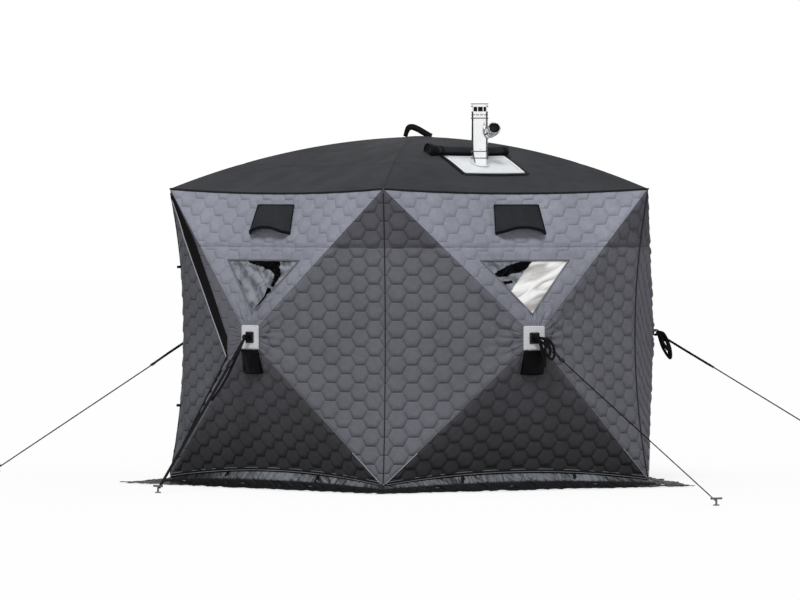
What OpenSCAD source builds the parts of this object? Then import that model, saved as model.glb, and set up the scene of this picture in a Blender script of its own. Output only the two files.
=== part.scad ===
/* [Shell] */

// Width of each of the five walls, corner seam to corner seam
wall_w = 1800; // [1500:10:2200]
// Height of a wall between its lower and upper corners
wall_h = 1750; // [1500:10:2000]
// Height of the lower fabric corners above the ground
ground_gap = 35; // [25:1:60]
// How far the poles push the middle of each wall outwards
hub_out = 210; // [120:5:300]
// Height of the wall hubs above the lower corners
hub_h = 866; // [700:2:1000]
// Height of the roof hub above the upper corners
apex_rise = 315; // [200:5:450]
// How far the roof poles bow above a straight line
pole_bow = 63; // [30:1:100]
// How far the upright corner seams are drawn inwards at half height
seam_bow = 88; // [40:1:120]
// How far the eave is drawn inwards at the middle of a wall
eave_bow = 40; // [10:1:80]
// How far the eave dips at the middle of a wall
eave_dip = 27; // [10:1:60]
// How far the hem rises at the middle of a wall
hem_rise = 62; // [20:1:90]
// Thickness of the quilted fabric
fabric_t = 6; // [4:0.5:10]

/* [Hub patches] */

// Side of the pale square patch over each wall hub
patch_w = 145; // [110:1:180]
// Radius of the five-sided patch over the roof hub
cap_r = 95; // [70:1:120]
// Side of the black plate on each patch
plate_w = 68; // [50:1:90]
// Thickness of that plate
plate_t = 5; // [3:0.5:8]
// Width of the guy tab on each plate
loop_w = 30; // [20:1:40]
// How far the guy tab stands out
loop_out = 34; // [26:1:50]
// Width of the rope pocket under each patch
pocket_w = 148; // [100:1:200]
// Height of the rope pocket
pocket_h = 140; // [100:1:180]
// Thickness of the rope pocket
pocket_t = 16; // [8:1:30]

/* [Poles] */

// Diameter of the fibreglass poles
pole_d = 11; // [8:0.5:14]
// Diameter of a wall hub
hub_d = 92; // [80:1:110]
// Thickness of a wall hub
hub_t = 34; // [28:1:44]
// How far corner joints and feet sit in from the fabric corners
joint_in = 46; // [40:1:70]
// Radius of the joint balls
joint_r = 19; // [16:0.5:24]
// Radius of the sockets on the joints
socket_r = 9; // [8:0.5:12]
// Radius of the pads the five feet stand on
foot_r = 24; // [20:1:36]
// Clearance of the poles in their sockets
pole_fit = 0.25; // [0.1:0.05:0.4]

/* [Windows and vents] */

// Width of a window along its upper edge
window_w = 600; // [400:10:760]
// Height of the upper window edge above the lower corners
window_z = 1325; // [1200:5:1400]
// Height of a window, edge to tip
window_h = 318; // [200:2:380]
// Thickness of the clear film
film_t = 1.2; // [0.8:0.1:3]
// Width of a vent hood at the top
vent_w = 300; // [200:5:360]
// Width of a vent hood at its open lower lip
vent_lip_w = 342; // [240:2:400]
// Height of the top of a vent hood above the lower corners
vent_z = 1652; // [1600:2:1680]
// Height of a vent hood
vent_h = 168; // [120:2:200]
// How far the lip of a vent hood stands out
vent_out = 62; // [40:1:90]
// How far the lip arches up at its middle
vent_arch = 44; // [20:1:60]
// Thickness of a vent hood
vent_t = 3; // [2:0.5:5]

/* [Door] */

// Distance of the fold line from the corner, along the panel
door_fold = 180; // [170:2:220]
// Distance of the zip point from the corner, along the panel
door_reach = 690; // [600:5:720]
// Height of the zip point above the lower corners
door_point_z = 745; // [700:5:800]
// Drop of the upper zip below the upper corner
door_top_drop = 35; // [20:1:60]
// Rise of the lower zip above the lower corner
door_low_rise = 42; // [30:1:60]
// Clearance around the open edges of the door
door_gap = 6; // [5:0.5:9]
// Clearance along the sewn fold
fold_gap = 0.3; // [0.2:0.1:0.6]
// Width of the storm flap over the upper zip
storm_w = 105; // [60:5:120]
// Thickness of the storm flap
storm_t = 3; // [2:0.5:5]

/* [Skirt] */

// Width of the skirt lying on the ground
skirt_w = 250; // [150:5:320]
// How far outside the walls the skirt meets the ground
skirt_foot = 26; // [15:1:50]
// Thickness of the skirt
skirt_t = 2.5; // [1.5:0.5:5]

/* [Stove jack and flue] */

// Width of the silver heat-proof patch along the eave
jack_w = 433; // [380:1:480]
// Length of the patch in plan, down the roof
jack_l = 290; // [270:1:320]
// Distance of the patch from the middle of the roof
jack_r = 835; // [800:5:860]
// Thickness of the patch
jack_t = 4; // [3:0.5:6]
// Fabric lap under each edge of the patch
jack_lap = 45; // [30:1:60]
// Diameter of the rolled cover above the patch
roll_d = 60; // [44:1:70]
// Length of the rolled cover
roll_l = 540; // [460:5:560]
// Outside diameter of the flue
flue_d = 98; // [80:1:104]
// Sheet thickness of the flue
flue_t = 2; // [1.5:0.25:3]
// Offset of the flue along the eave, away from the corner seam
flue_shift = -32; // [-40:1:40]
// Length of flue under the roof
flue_below = 210; // [120:5:400]
// Height of the joint between the two flue lengths above the roof
flue_joint_up = 84; // [66:1:106]
// Length of the upper flue, which carries the elbow
tee_l = 233; // [210:1:260]
// Height of the rain cap over the upper flue
cap_h = 54; // [48:1:66]
// Outside diameter of the side elbow
elbow_d = 70; // [56:1:76]
// Bend radius of the side elbow
elbow_bend = 88; // [80:1:110]
// Clearance of the flue in the patch
flue_fit = 0.4; // [0.2:0.1:1]

/* [Guys] */

// Reach of the guys over the right and left walls
guy_reach_side = 1500; // [900:10:2000]
// Reach of the guy over the front wall
guy_reach_front = 2100; // [900:10:2400]
// Reach of the strap over the door wall
guy_reach_door = 760; // [500:10:1200]
// Diameter of the ropes
rope_d = 7; // [5:0.5:10]
// Width of the strap over the door wall
strap_w = 25; // [15:1:40]
// Thickness of the strap
strap_t = 3; // [2:0.5:5]
// Height at which a guy is tied to its anchor
tie_z = 26; // [20:1:40]

/* [Roof handle] */

// Span of the carrying handle
handle_l = 150; // [100:5:160]
// Height of the handle
handle_h = 58; // [40:1:80]
// Width of the handle webbing
handle_w = 25; // [15:1:40]
// Thickness of the handle webbing
handle_t = 3; // [2:0.5:5]

/* [Hidden] */

$fn = 64;
// segments along a bowed seam and down a roof panel
seg = 8;
roof_seg = 6;
turn = 72;
apothem = wall_w / 2 / tan(turn / 2);
corner_r = wall_w / 2 / sin(turn / 2);
z_low = ground_gap;
z_top = ground_gap + wall_h;
z_hub = ground_gap + hub_h;
z_apex = z_top + apex_rise;
hub_y = -(apothem + hub_out);
centre = [0, 0, z_hub];
// the fabric over the hubs is a little thicker than over the walls
patch_t = fabric_t * (apothem + hub_out) / apothem;
hub_mid_y = hub_y + patch_t + 0.3 + hub_t / 2;
hub_mid = [0, hub_mid_y, z_hub];
joint_plan = corner_r - joint_in;
joint_top_z = z_top - joint_in * 0.62;
foot_z = joint_r + 16;
bar_l = 72;
shank_r = 6;
washer_r = 18;
// the back guy reaches as far behind the middle as the front one does before it
guy_reach_back = cos(36) * (apothem + hub_out + guy_reach_front) - (apothem + hub_out)
    + bar_l / 2 * sin(36) + shank_r * cos(36) - washer_r;
// the flat panel that carries the door
panel_l = norm([wall_w / 2 - patch_w / 2, hub_out]);
panel_turn = atan2(hub_out, wall_w / 2 - patch_w / 2);
roof_hub_z = z_apex - fabric_t - 0.3;
flue_x = flue_shift;
flue_y = -jack_r;
flue_joint_z = roof_z(jack_r) + flue_joint_up;
flue_top_z = flue_joint_z + tee_l + cap_h;

// a point moved towards the middle of the room, so that panels of one thickness meet on the seams
function inward(p, t) = p + (centre - p) * t / apothem;
function bow(u) = 4 * u * (1 - u);
function mix(a, b, t) = a + (b - a) * t;

// the seams that bound one wall, which faces -Y before it is turned into place
function corner(s, z) = [s * wall_w / 2, -apothem, z];
function eave(u) = mix(corner(-1, z_top), corner(1, z_top), u) + bow(u) * [0, eave_bow, -eave_dip];
function hem(u) = mix(corner(-1, z_low), corner(1, z_low), u) + bow(u) * [0, 0, hem_rise];
function seam(s, u) = mix(corner(s, z_low), corner(s, z_top), u)
    + bow(u) * seam_bow * [-s * sin(turn / 2), cos(turn / 2), 0];
function patch_at(x, z) = [x * patch_w / 2, hub_y, z_hub + z * patch_w / 2];

// grids of skin points, from the patch out to the seam
top_grid = [
    [for (j = [0:seg]) mix(patch_at(-1, 1), patch_at(1, 1), j / seg)],
    [for (j = [0:seg]) eave(j / seg)]
];
low_grid = [
    [for (j = [0:seg]) mix(patch_at(1, -1), patch_at(-1, -1), j / seg)],
    [for (j = [0:seg]) hem(1 - j / seg)]
];
right_grid = [
    [for (j = [0:seg]) mix(patch_at(1, 1), patch_at(1, -1), j / seg)],
    [for (j = [0:seg]) seam(1, 1 - j / seg)]
];
left_grid = [
    [for (j = [0:seg]) mix(patch_at(-1, -1), patch_at(-1, 1), j / seg)],
    [for (j = [0:seg]) seam(-1, j / seg)]
];
// the roof skin runs from the cap to the eave over the bowed poles
function cap_at(s) = [s * cap_r * sin(turn / 2), -cap_r * cos(turn / 2), z_apex];
function rib(s, v) = mix(cap_at(s), corner(s, z_top), v) + [0, 0, bow(v) * pole_bow];
function roof_at(u, v) = mix(rib(-1, v), rib(1, v), u) + bow(u) * v * [0, eave_bow, -eave_dip];
roof_grid = [for (i = [0:roof_seg]) [for (j = [0:seg]) roof_at(1 - j / seg, i / roof_seg)]];
// height of the roof at a distance out from its middle, on the centre line of a panel
function roof_v(r) = (r - cap_r * cos(turn / 2))
    / (apothem - eave_bow - cap_r * cos(turn / 2));
function roof_z(r) = roof_at(0.5, roof_v(r)).z;

// points of the flat door panel, a along it from the corner and z above the lower corners
function door_at(a, z) = [
    -wall_w / 2 + a * cos(panel_turn),
    -apothem - a * sin(panel_turn),
    z_low + z
];
function ridge_up(a) = mix(wall_h, hub_h + patch_w / 2, a / panel_l);
function ridge_low(a) = mix(0, hub_h - patch_w / 2, a / panel_l);
function zip_up(a) = mix(wall_h - door_top_drop, door_point_z, a / door_reach);
function zip_low(a) = mix(door_low_rise, door_point_z, a / door_reach);
jamb_grid = [
    [for (j = [0:seg]) door_at(door_fold, mix(ridge_low(door_fold), ridge_up(door_fold), j / seg))],
    [for (j = [0:seg]) seam(-1, j / seg)]
];
// the two free edges of the door stand off their zip lines
slope_up = atan2(wall_h - door_top_drop - door_point_z, door_reach);
slope_low = atan2(door_point_z - door_low_rise, door_reach);
drop_up = door_gap / cos(slope_up);
lift_low = door_gap / cos(slope_low);
door_a0 = door_fold + fold_gap;
door_a1 = door_reach - (drop_up + lift_low) / (tan(slope_up) + tan(slope_low));

// straight poles, hub to joint, and the bowed roof poles
function joint_at(s, z) = [s * joint_plan * sin(turn / 2), -joint_plan * cos(turn / 2), z];
function toward(a, b, d) = a + (b - a) * d / norm(b - a);
pole_in = 24;
pole_stop = 8;
rib_start = [30, roof_hub_z - 22];
rib_end = [joint_plan - pole_stop, joint_top_z + pole_stop * 0.1];
rib_chord = norm(rib_end - rib_start);
rib_rad = (rib_chord * rib_chord / 4 + pole_bow * pole_bow) / 2 / pole_bow;
rib_tilt = atan2(rib_start[1] - rib_end[1], rib_end[0] - rib_start[0]);
rib_mid = (rib_start + rib_end) / 2
    - (rib_rad - pole_bow) * [sin(rib_tilt), cos(rib_tilt)];
rib_a0 = atan2(rib_end[1] - rib_mid[1], rib_end[0] - rib_mid[0]);
rib_a1 = atan2(rib_start[1] - rib_mid[1], rib_start[0] - rib_mid[0]);

// where each guy starts and ends, walls in the order front, right, back, left, door
reach = [guy_reach_front, guy_reach_side, guy_reach_back, guy_reach_side, guy_reach_door];
loop_mid = [0, hub_y - plate_t - loop_out + 12, z_hub];
function tie_at(w) = [0, hub_y - reach[w], tie_z];
function fall(w) = atan2(z_hub - tie_z, reach[w] - plate_t - loop_out + 12);
function guy_start(w) = toward(loop_mid, tie_at(w), 12.1);
function guy_end(w, t) = toward(tie_at(w), loop_mid, (shank_r + t / 2 * sin(fall(w)) + 0.1) / cos(fall(w)));

// [all, or one of the names above]

// a closed solid between two matching grids of points
module slab(upper, lower) {
    n = len(upper) - 1;
    m = len(upper[0]) - 1;
    k = (n + 1) * (m + 1);
    points = concat([for (r = upper) for (p = r) p], [for (r = lower) for (p = r) p]);
    function at(i, j) = i * (m + 1) + j;
    faces = concat(
        [for (i = [0:n - 1]) for (j = [0:m - 1]) [at(i, j), at(i + 1, j), at(i + 1, j + 1)]],
        [for (i = [0:n - 1]) for (j = [0:m - 1]) [at(i, j), at(i + 1, j + 1), at(i, j + 1)]],
        [for (i = [0:n - 1]) for (j = [0:m - 1]) [k + at(i + 1, j + 1), k + at(i + 1, j), k + at(i, j)]],
        [for (i = [0:n - 1]) for (j = [0:m - 1]) [k + at(i, j + 1), k + at(i + 1, j + 1), k + at(i, j)]],
        [for (j = [0:m - 1]) for (f = rim(at(0, j), at(0, j + 1), k)) f],
        [for (i = [0:n - 1]) for (f = rim(at(i, m), at(i + 1, m), k)) f],
        [for (j = [0:m - 1]) for (f = rim(at(n, j + 1), at(n, j), k)) f],
        [for (i = [0:n - 1]) for (f = rim(at(i + 1, 0), at(i, 0), k)) f]
    );
    polyhedron(points = points, faces = faces, convexity = 6);
}

function rim(a, b, k) = [[a, b, k + b], [a, k + b, k + a]];

// fabric between two depths under its outer skin
module skin(grid, from, to) {
    slab([for (r = grid) [for (p = r) inward(p, from)]], [for (r = grid) [for (p = r) inward(p, to)]]);
}

// a flat fabric piece, its outline anticlockwise seen from outside
module plate(outline, from, to) {
    n = len(outline);
    points = concat([for (p = outline) inward(p, from)], [for (p = outline) inward(p, to)]);
    faces = concat(
        [[for (i = [0:n - 1]) n - 1 - i]],
        [[for (i = [0:n - 1]) n + i]],
        [for (i = [0:n - 1]) [i, (i + 1) % n, n + (i + 1) % n, n + i]]
    );
    polyhedron(points = points, faces = faces, convexity = 4);
}

// turns a wall that faces -Y into its place: 0 front, 1 right, 2 back, 3 left, 4 door
module on_wall(w) {
    rotate([0, 0, 36 + turn * w]) children();
}

module at_walls() {
    for (w = [0:4]) on_wall(w) children();
}

// lays +Z along the line from a to b
module along(a, b) {
    d = b - a;
    translate(a) rotate([0, acos(d.z / norm(d)), atan2(d.y, d.x)]) children();
}

module window_prism(h) {
    translate([0, -apothem + 60, z_low]) rotate([90, 0, 0]) linear_extrude(h)
        polygon([[-window_w / 2, window_z], [0, window_z - window_h], [window_w / 2, window_z]]);
}

module top_panel() {
    difference() {
        skin(top_grid, 0, fabric_t);
        window_prism(hub_out + 120);
        translate([-vent_w / 3, -apothem - hub_out, z_low + vent_z - vent_h * 0.72])
            cube([vent_w / 1.5, hub_out + 80, vent_h * 0.4]);
    }
}

module side_panels() {
    skin(right_grid, 0, fabric_t);
    skin(left_grid, 0, fabric_t);
}

module bottom_panel() {
    skin(low_grid, 0, fabric_t);
}

module roof_panel() {
    skin(roof_grid, 0, fabric_t);
}

module front_top_panel() {
    color("lightslategray") on_wall(0) top_panel();
}

module front_side_panels() {
    color("slategray") on_wall(0) side_panels();
}

module front_bottom_panel() {
    color("dimgray") on_wall(0) bottom_panel();
}

module right_top_panel() {
    color("lightslategray") on_wall(1) top_panel();
}

module right_side_panels() {
    color("slategray") on_wall(1) side_panels();
}

module right_bottom_panel() {
    color("dimgray") on_wall(1) bottom_panel();
}

module back_top_panel() {
    color("lightslategray") on_wall(2) top_panel();
}

module back_side_panels() {
    color("slategray") on_wall(2) side_panels();
}

module back_bottom_panel() {
    color("dimgray") on_wall(2) bottom_panel();
}

module left_top_panel() {
    color("lightslategray") on_wall(3) top_panel();
}

module left_side_panels() {
    color("slategray") on_wall(3) side_panels();
}

module left_bottom_panel() {
    color("dimgray") on_wall(3) bottom_panel();
}

module door_wall_top_panel() {
    color("lightslategray") on_wall(4) top_panel();
}

module door_wall_right_panel() {
    color("slategray") on_wall(4) skin(right_grid, 0, fabric_t);
}

module door_wall_bottom_panel() {
    color("dimgray") on_wall(4) bottom_panel();
}

// the fixed strip between the corner seam and the fold of the door
module door_jamb() {
    color("slategray") on_wall(4) skin(jamb_grid, 0, fabric_t);
}

// the fixed fabric above and below the two zips, parted at the zip point
module door_surround() {
    part = 0.6;
    color("slategray") on_wall(4) {
        plate([
            door_at(door_fold, zip_up(door_fold)),
            door_at(door_reach, door_point_z),
            door_at(panel_l, ridge_low(panel_l)),
            door_at(panel_l, ridge_up(panel_l)),
            door_at(door_fold, ridge_up(door_fold))
        ], 0, fabric_t);
        plate([
            door_at(door_fold, ridge_low(door_fold)),
            door_at(panel_l - part, ridge_low(panel_l - part)),
            door_at(door_reach - part, door_point_z - 2 * part),
            door_at(door_fold, zip_low(door_fold))
        ], 0, fabric_t);
    }
}

// the door, a three-cornered flap that folds out about its sewn edge
module door_flap() {
    color("slategray") on_wall(4) plate([
        door_at(door_a0, zip_low(door_a0) + lift_low),
        door_at(door_a1, zip_low(door_a1) + lift_low),
        door_at(door_a0, zip_up(door_a0) - drop_up)
    ], 0, fabric_t);
}

// the flap over the upper zip, sewn to the fabric above it
module storm_flap() {
    rise = storm_w / cos(slope_up);
    edge = min(rise, ridge_up(door_fold) - zip_up(door_fold));
    meet = door_reach * (rise + zip_up(0) - ridge_up(0))
        / (zip_up(0) - door_point_z - (ridge_up(0) - ridge_up(door_reach)));
    color("black") on_wall(4) plate([
        door_at(door_fold, zip_up(door_fold)),
        door_at(door_reach, door_point_z + 1),
        door_at(door_reach, door_point_z + rise * 0.8),
        door_at(meet, ridge_up(meet)),
        door_at(door_fold, zip_up(door_fold) + edge)
    ], -storm_t, 0);
}

module front_roof_panel() {
    cut_w = jack_w - 2 * jack_lap;
    cut_l = jack_l - 2 * jack_lap;
    color("darkslategray") on_wall(0) difference() {
        roof_panel();
        translate([-cut_w / 2, -jack_r - cut_l / 2, z_top - cut_l]) cube([cut_w, cut_l, apex_rise + 2 * cut_l]);
    }
}

module right_roof_panel() {
    color("darkslategray") on_wall(1) roof_panel();
}

module back_roof_panel() {
    color("darkslategray") on_wall(2) roof_panel();
}

module left_roof_panel() {
    color("darkslategray") on_wall(3) roof_panel();
}

module door_roof_panel() {
    color("darkslategray") on_wall(4) roof_panel();
}

// the five-sided patch in the middle of the roof
module roof_cap() {
    color("darkslategray") plate([for (k = [0:4]) [
        cap_r * cos(turn * k - 90),
        cap_r * sin(turn * k - 90),
        z_apex
    ]], 0, fabric_t);
}

// a webbing loop to carry the folded hut by, higher at one end
module roof_handle() {
    n = 16;
    function path(t, o) = [
        (handle_l / 2 - o) * (2 * t - 1),
        (handle_h - o) * sin(180 * pow(t, 0.6))
    ];
    outer = [for (i = [0:n]) path(i / n, 0)];
    inner = [for (i = [n:-1:0]) path(i / n, handle_t)];
    color("black") translate([0, handle_w / 2, z_apex]) rotate([90, 0, 0]) linear_extrude(handle_w)
        polygon(concat(outer, inner));
}

module hub_patches() {
    color("lightgray") at_walls() plate([
        patch_at(-1, -1),
        patch_at(1, -1),
        patch_at(1, 1),
        patch_at(-1, 1)
    ], 0, fabric_t);
}

// the plate on a hub patch with the webbing tab its guy is tied round
module hub_plate() {
    translate([-plate_w / 2, hub_y - plate_t, z_hub - plate_w / 2]) cube([plate_w, plate_t, plate_w]);
    translate([-loop_w / 2, hub_y - plate_t - loop_out + 12, z_hub]) rotate([0, 90, 0]) cylinder(r = 12, h = loop_w);
    translate([-loop_w / 2, hub_y - plate_t - loop_out + 12, z_hub - 12]) cube([loop_w, loop_out - 12, 24]);
}

module hub_plates() {
    color("black") at_walls() hub_plate();
}

// flat pockets on the lower panels, cut to lie on the fabric
module rope_pockets() {
    color("black") at_walls() difference() {
        translate([0, hub_y + hub_out / 2, z_hub - patch_w / 2 - 2]) rotate([90, 0, 0])
            linear_extrude(hub_out / 2 + pocket_t - 10) polygon([
                [-pocket_w * 0.46, 0],
                [-pocket_w / 2, -pocket_h],
                [pocket_w / 2, -pocket_h],
                [pocket_w * 0.46, 0]
            ]);
        skin(low_grid, 0, hub_out + pocket_t * 3);
        translate([-pocket_w, hub_y - pocket_t * 2, z_hub - patch_w / 2 - 2]) rotate([-14, 0, 0])
            translate([0, -100, -pocket_h * 1.3]) cube([pocket_w * 2, 100, pocket_h * 1.3]);
    }
}

// clear three-cornered film that fills the cut in each upper panel
module window_panes() {
    depth = (fabric_t - film_t) / 2;
    color("lightcyan") at_walls() intersection() {
        skin(top_grid, depth, depth + film_t);
        window_prism(hub_out + 120);
    }
}

// scoops over the vents, shut above and at the sides and open along an arched lip
module vent_hoods() {
    z1 = z_low + vent_z;
    z0 = z1 - vent_h;
    n = 10;
    function out(z) = mix(-apothem + eave_bow, hub_y, (z_top - eave_dip - z)
        / (z_top - eave_dip - z_hub - patch_w / 2));
    function lip(j) = [
        (j / n - 0.5) * vent_lip_w,
        out(z0) - bow(j / n) * vent_out,
        z0 + bow(j / n) * vent_arch
    ];
    function head(j) = [(j / n - 0.5) * vent_w, out(z1), z1];
    back = [0, 24, 0];
    outer = [[for (j = [0:n]) lip(j)], [for (j = [0:n]) head(j)]];
    inner = [[for (j = [0:n]) lip(j) + vent_t * [0, 1, -0.2]],
        [for (j = [0:n]) head(j) + vent_t * [0, 1, 0]]];
    color("black") at_walls() difference() {
        union() {
            slab(outer, inner);
            for (s = [-1, 1]) hull() {
                translate([s * (vent_lip_w / 2 - vent_t / 2), out(z0) - 1, z0]) cube([vent_t, 24, 2], center = true);
                translate([s * (vent_w / 2 - vent_t / 2), out(z1) - 1, z1 - 2]) cube([vent_t, 24, 2], center = true);
            }
        }
        skin(top_grid, 0, 160);
    }
}

// one pole of a wall, from its hub to a corner
module wall_pole(s, z, d) {
    a = toward(hub_mid, joint_at(s, z), pole_in);
    b = toward(joint_at(s, z), hub_mid, pole_stop);
    along(a, b) cylinder(d = d, h = norm(b - a));
}

module wall_pole_set(d) {
    for (s = [-1, 1]) {
        wall_pole(s, joint_top_z, d);
        wall_pole(s, foot_z, d);
    }
}

module wall_poles() {
    color("darkgray") at_walls() wall_pole_set(pole_d);
}

// hubs behind the patches, with four sockets on the pole lines
module wall_hubs() {
    color("dimgray") at_walls() difference() {
        translate([0, hub_mid_y + hub_t / 2, z_hub]) rotate([90, 0, 0]) cylinder(d = hub_d, h = hub_t);
        wall_pole_set(pole_d + 2 * pole_fit);
    }
}

// a bowed roof pole over the corner that lies on -Y
module rib_pole(d) {
    rotate([0, 0, -90]) translate([rib_mid[0], 0, rib_mid[1]]) rotate([90, 0, 0]) rotate([0, 0, rib_a0])
        rotate_extrude(angle = rib_a1 - rib_a0) translate([rib_rad, 0]) circle(d = d);
}

module roof_poles() {
    color("darkgray") for (k = [0:4]) rotate([0, 0, turn * k]) rib_pole(pole_d);
}

module roof_hub() {
    color("dimgray") difference() {
        translate([0, 0, roof_hub_z - 42]) cylinder(d = hub_d + 10, h = 42);
        for (k = [0:4]) rotate([0, 0, turn * k]) rib_pole(pole_d + 2 * pole_fit);
    }
}

// the two wall poles that meet at the corner on -Y
module corner_pair(z, d) {
    rotate([0, 0, -36]) wall_pole(1, z, d);
    rotate([0, 0, 36]) wall_pole(-1, z, d);
}

// a socket on a joint, laid towards a wall hub
module socket(s, z) {
    rotate([0, 0, -36 * s]) along(joint_at(s, z), hub_mid) cylinder(r = socket_r, h = 46);
}

module corner_joints() {
    color("black") for (k = [0:4]) rotate([0, 0, turn * k]) difference() {
        union() {
            translate([0, -joint_plan, joint_top_z]) sphere(r = joint_r);
            socket(1, joint_top_z);
            socket(-1, joint_top_z);
        }
        corner_pair(joint_top_z, pole_d + 2 * pole_fit);
        rib_pole(pole_d + 2 * pole_fit);
    }
}

// feet under the lower corners, each on a flat pad
module corner_feet() {
    color("black") for (k = [0:4]) rotate([0, 0, turn * k]) difference() {
        union() {
            translate([0, -joint_plan, foot_z]) sphere(r = joint_r);
            translate([0, -joint_plan, 0]) cylinder(r = 13, h = foot_z);
            translate([0, -joint_plan, 0]) cylinder(r = foot_r, h = 8);
            socket(1, foot_z);
            socket(-1, foot_z);
        }
        corner_pair(foot_z, pole_d + 2 * pole_fit);
    }
}

// a skirt hangs from each hem and lies out on the ground, mitred at the corners
module snow_skirts() {
    trim = 1 - 2 / wall_w;
    function line(r, u, z) = [(2 * u - 1) * r * tan(turn / 2) * trim, -r, z];
    function edge(u) = [hem(u).x * trim, hem(u).y - 0.1, hem(u).z];
    upper = [
        [for (j = [0:seg]) edge(j / seg) + [0, -skirt_t, 0]],
        [for (j = [0:seg]) line(apothem + skirt_foot, j / seg, skirt_t)],
        [for (j = [0:seg]) line(apothem + skirt_w, j / seg, skirt_t)]
    ];
    lower = [
        [for (j = [0:seg]) edge(j / seg)],
        [for (j = [0:seg]) line(apothem + skirt_foot - skirt_t, j / seg, 0)],
        [for (j = [0:seg]) line(apothem + skirt_w, j / seg, 0)]
    ];
    color("black") at_walls() slab(
        [for (i = [0:2]) [for (j = [0:seg]) upper[i][seg - j]]],
        [for (i = [0:2]) [for (j = [0:seg]) lower[i][seg - j]]]
    );
}

// an anchor standing on the ground, its crossbar over the guy
module anchor() {
    cylinder(r = washer_r, h = 6);
    cylinder(r = shank_r, h = tie_z + 14);
    translate([-bar_l / 2, 0, tie_z + 14]) rotate([0, 90, 0]) cylinder(r = shank_r, h = bar_l);
}

module ice_anchors() {
    color("silver") for (w = [0:4]) on_wall(w) translate([0, hub_y - reach[w], 0]) anchor();
}

// ropes run straight from the plate loops to the anchor eyes
module guy_ropes() {
    color("black") for (w = [0:3]) on_wall(w) along(guy_start(w), guy_end(w, rope_d))
        cylinder(d = rope_d, h = norm(guy_end(w, rope_d) - guy_start(w)));
}

module guy_strap() {
    color("black") on_wall(4) along(guy_start(4), guy_end(4, strap_t)) translate([-strap_t / 2, -strap_w / 2, 0])
        cube([strap_t, strap_w, norm(guy_end(4, strap_t) - guy_start(4))]);
}

// the heat-proof patch on the roof, bored for the flue
module stove_jack() {
    color("whitesmoke") on_wall(0) difference() {
        intersection() {
            skin(roof_grid, -jack_t, 0);
            translate([-jack_w / 2, -jack_r - jack_l / 2, z_top - 100]) cube([jack_w, jack_l, apex_rise + 200]);
        }
        translate([flue_x, flue_y, z_top - 100]) cylinder(d = flue_d + 2 * flue_fit, h = apex_rise + 200);
    }
}

// the rolled cover lies on the roof along the upper edge of the patch
module jack_cover_roll() {
    r = jack_r - jack_l / 2 - roll_d / 2;
    color("black") on_wall(0) difference() {
        translate([-roll_l / 2 - 20, -r, roof_z(r) + roll_d / 2 - 8]) rotate([0, 90, 0])
            cylinder(d = roll_d, h = roll_l);
        skin(roof_grid, 0, 150);
    }
}

// the lower flue length, through the patch and open below
module flue_pipe() {
    z0 = roof_z(jack_r) - flue_below;
    color("silver") on_wall(0) translate([flue_x, flue_y, 0]) difference() {
        union() {
            translate([0, 0, z0]) cylinder(d = flue_d, h = flue_joint_z - z0);
            translate([0, 0, flue_joint_z - 40]) cylinder(d = flue_d + 4, h = 40);
        }
        translate([0, 0, z0 - 1]) cylinder(d = flue_d - 2 * flue_t, h = flue_joint_z - z0 + 2);
    }
}

// the elbow turns from the side of the flue to face forwards, tipped up a little
module elbow(d, sweep) {
    rotate([0, 0, -28]) rotate([155, 0, 0]) translate([0, elbow_bend, 0]) rotate([0, 0, -90])
        rotate_extrude(angle = sweep) translate([elbow_bend, 0]) circle(d = d);
}

module flue_tee() {
    zb = flue_joint_z + tee_l * 0.455;
    color("silver") on_wall(0) translate([flue_x, flue_y, 0]) difference() {
        union() {
            translate([0, 0, flue_joint_z]) cylinder(d = flue_d, h = tee_l);
            translate([0, 0, zb]) elbow(elbow_d, 86);
        }
        translate([0, 0, flue_joint_z - 1]) cylinder(d = flue_d - 2 * flue_t, h = tee_l + 2);
        translate([0, 0, zb]) elbow(elbow_d - 2 * flue_t, 92);
    }
}

// a domed rain cap on posts, so that smoke leaves under its rim
module flue_cap() {
    z0 = flue_joint_z + tee_l;
    color("silver") on_wall(0) translate([flue_x, flue_y, 0]) {
        translate([0, 0, flue_top_z - 14]) cylinder(d1 = flue_d + 8, d2 = flue_d * 0.5, h = 14);
        translate([0, 0, flue_top_z - 20]) cylinder(d = flue_d + 8, h = 6);
        for (a = [0:45:315]) rotate([0, 0, a]) translate([flue_d / 2 - 6, 0, z0]) cylinder(d = 6, h = cap_h - 20);
        translate([0, 0, z0]) difference() {
            cylinder(d = flue_d + 4, h = 6);
            translate([0, 0, -1]) cylinder(d = flue_d - 22, h = 8);
        }
    }
}

front_top_panel();
front_side_panels();
front_bottom_panel();
right_top_panel();
right_side_panels();
right_bottom_panel();
back_top_panel();
back_side_panels();
back_bottom_panel();
left_top_panel();
left_side_panels();
left_bottom_panel();
door_wall_top_panel();
door_wall_right_panel();
door_wall_bottom_panel();
door_jamb();
door_surround();
door_flap();
storm_flap();
front_roof_panel();
right_roof_panel();
back_roof_panel();
left_roof_panel();
door_roof_panel();
roof_cap();
roof_handle();
hub_patches();
hub_plates();
rope_pockets();
window_panes();
vent_hoods();
wall_hubs();
roof_hub();
wall_poles();
roof_poles();
corner_joints();
corner_feet();
snow_skirts();
guy_ropes();
guy_strap();
ice_anchors();
stove_jack();
jack_cover_roll();
flue_pipe();
flue_tee();
flue_cap();
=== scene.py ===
import bpy
import math
import numpy as np
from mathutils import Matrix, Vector, noise


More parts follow.
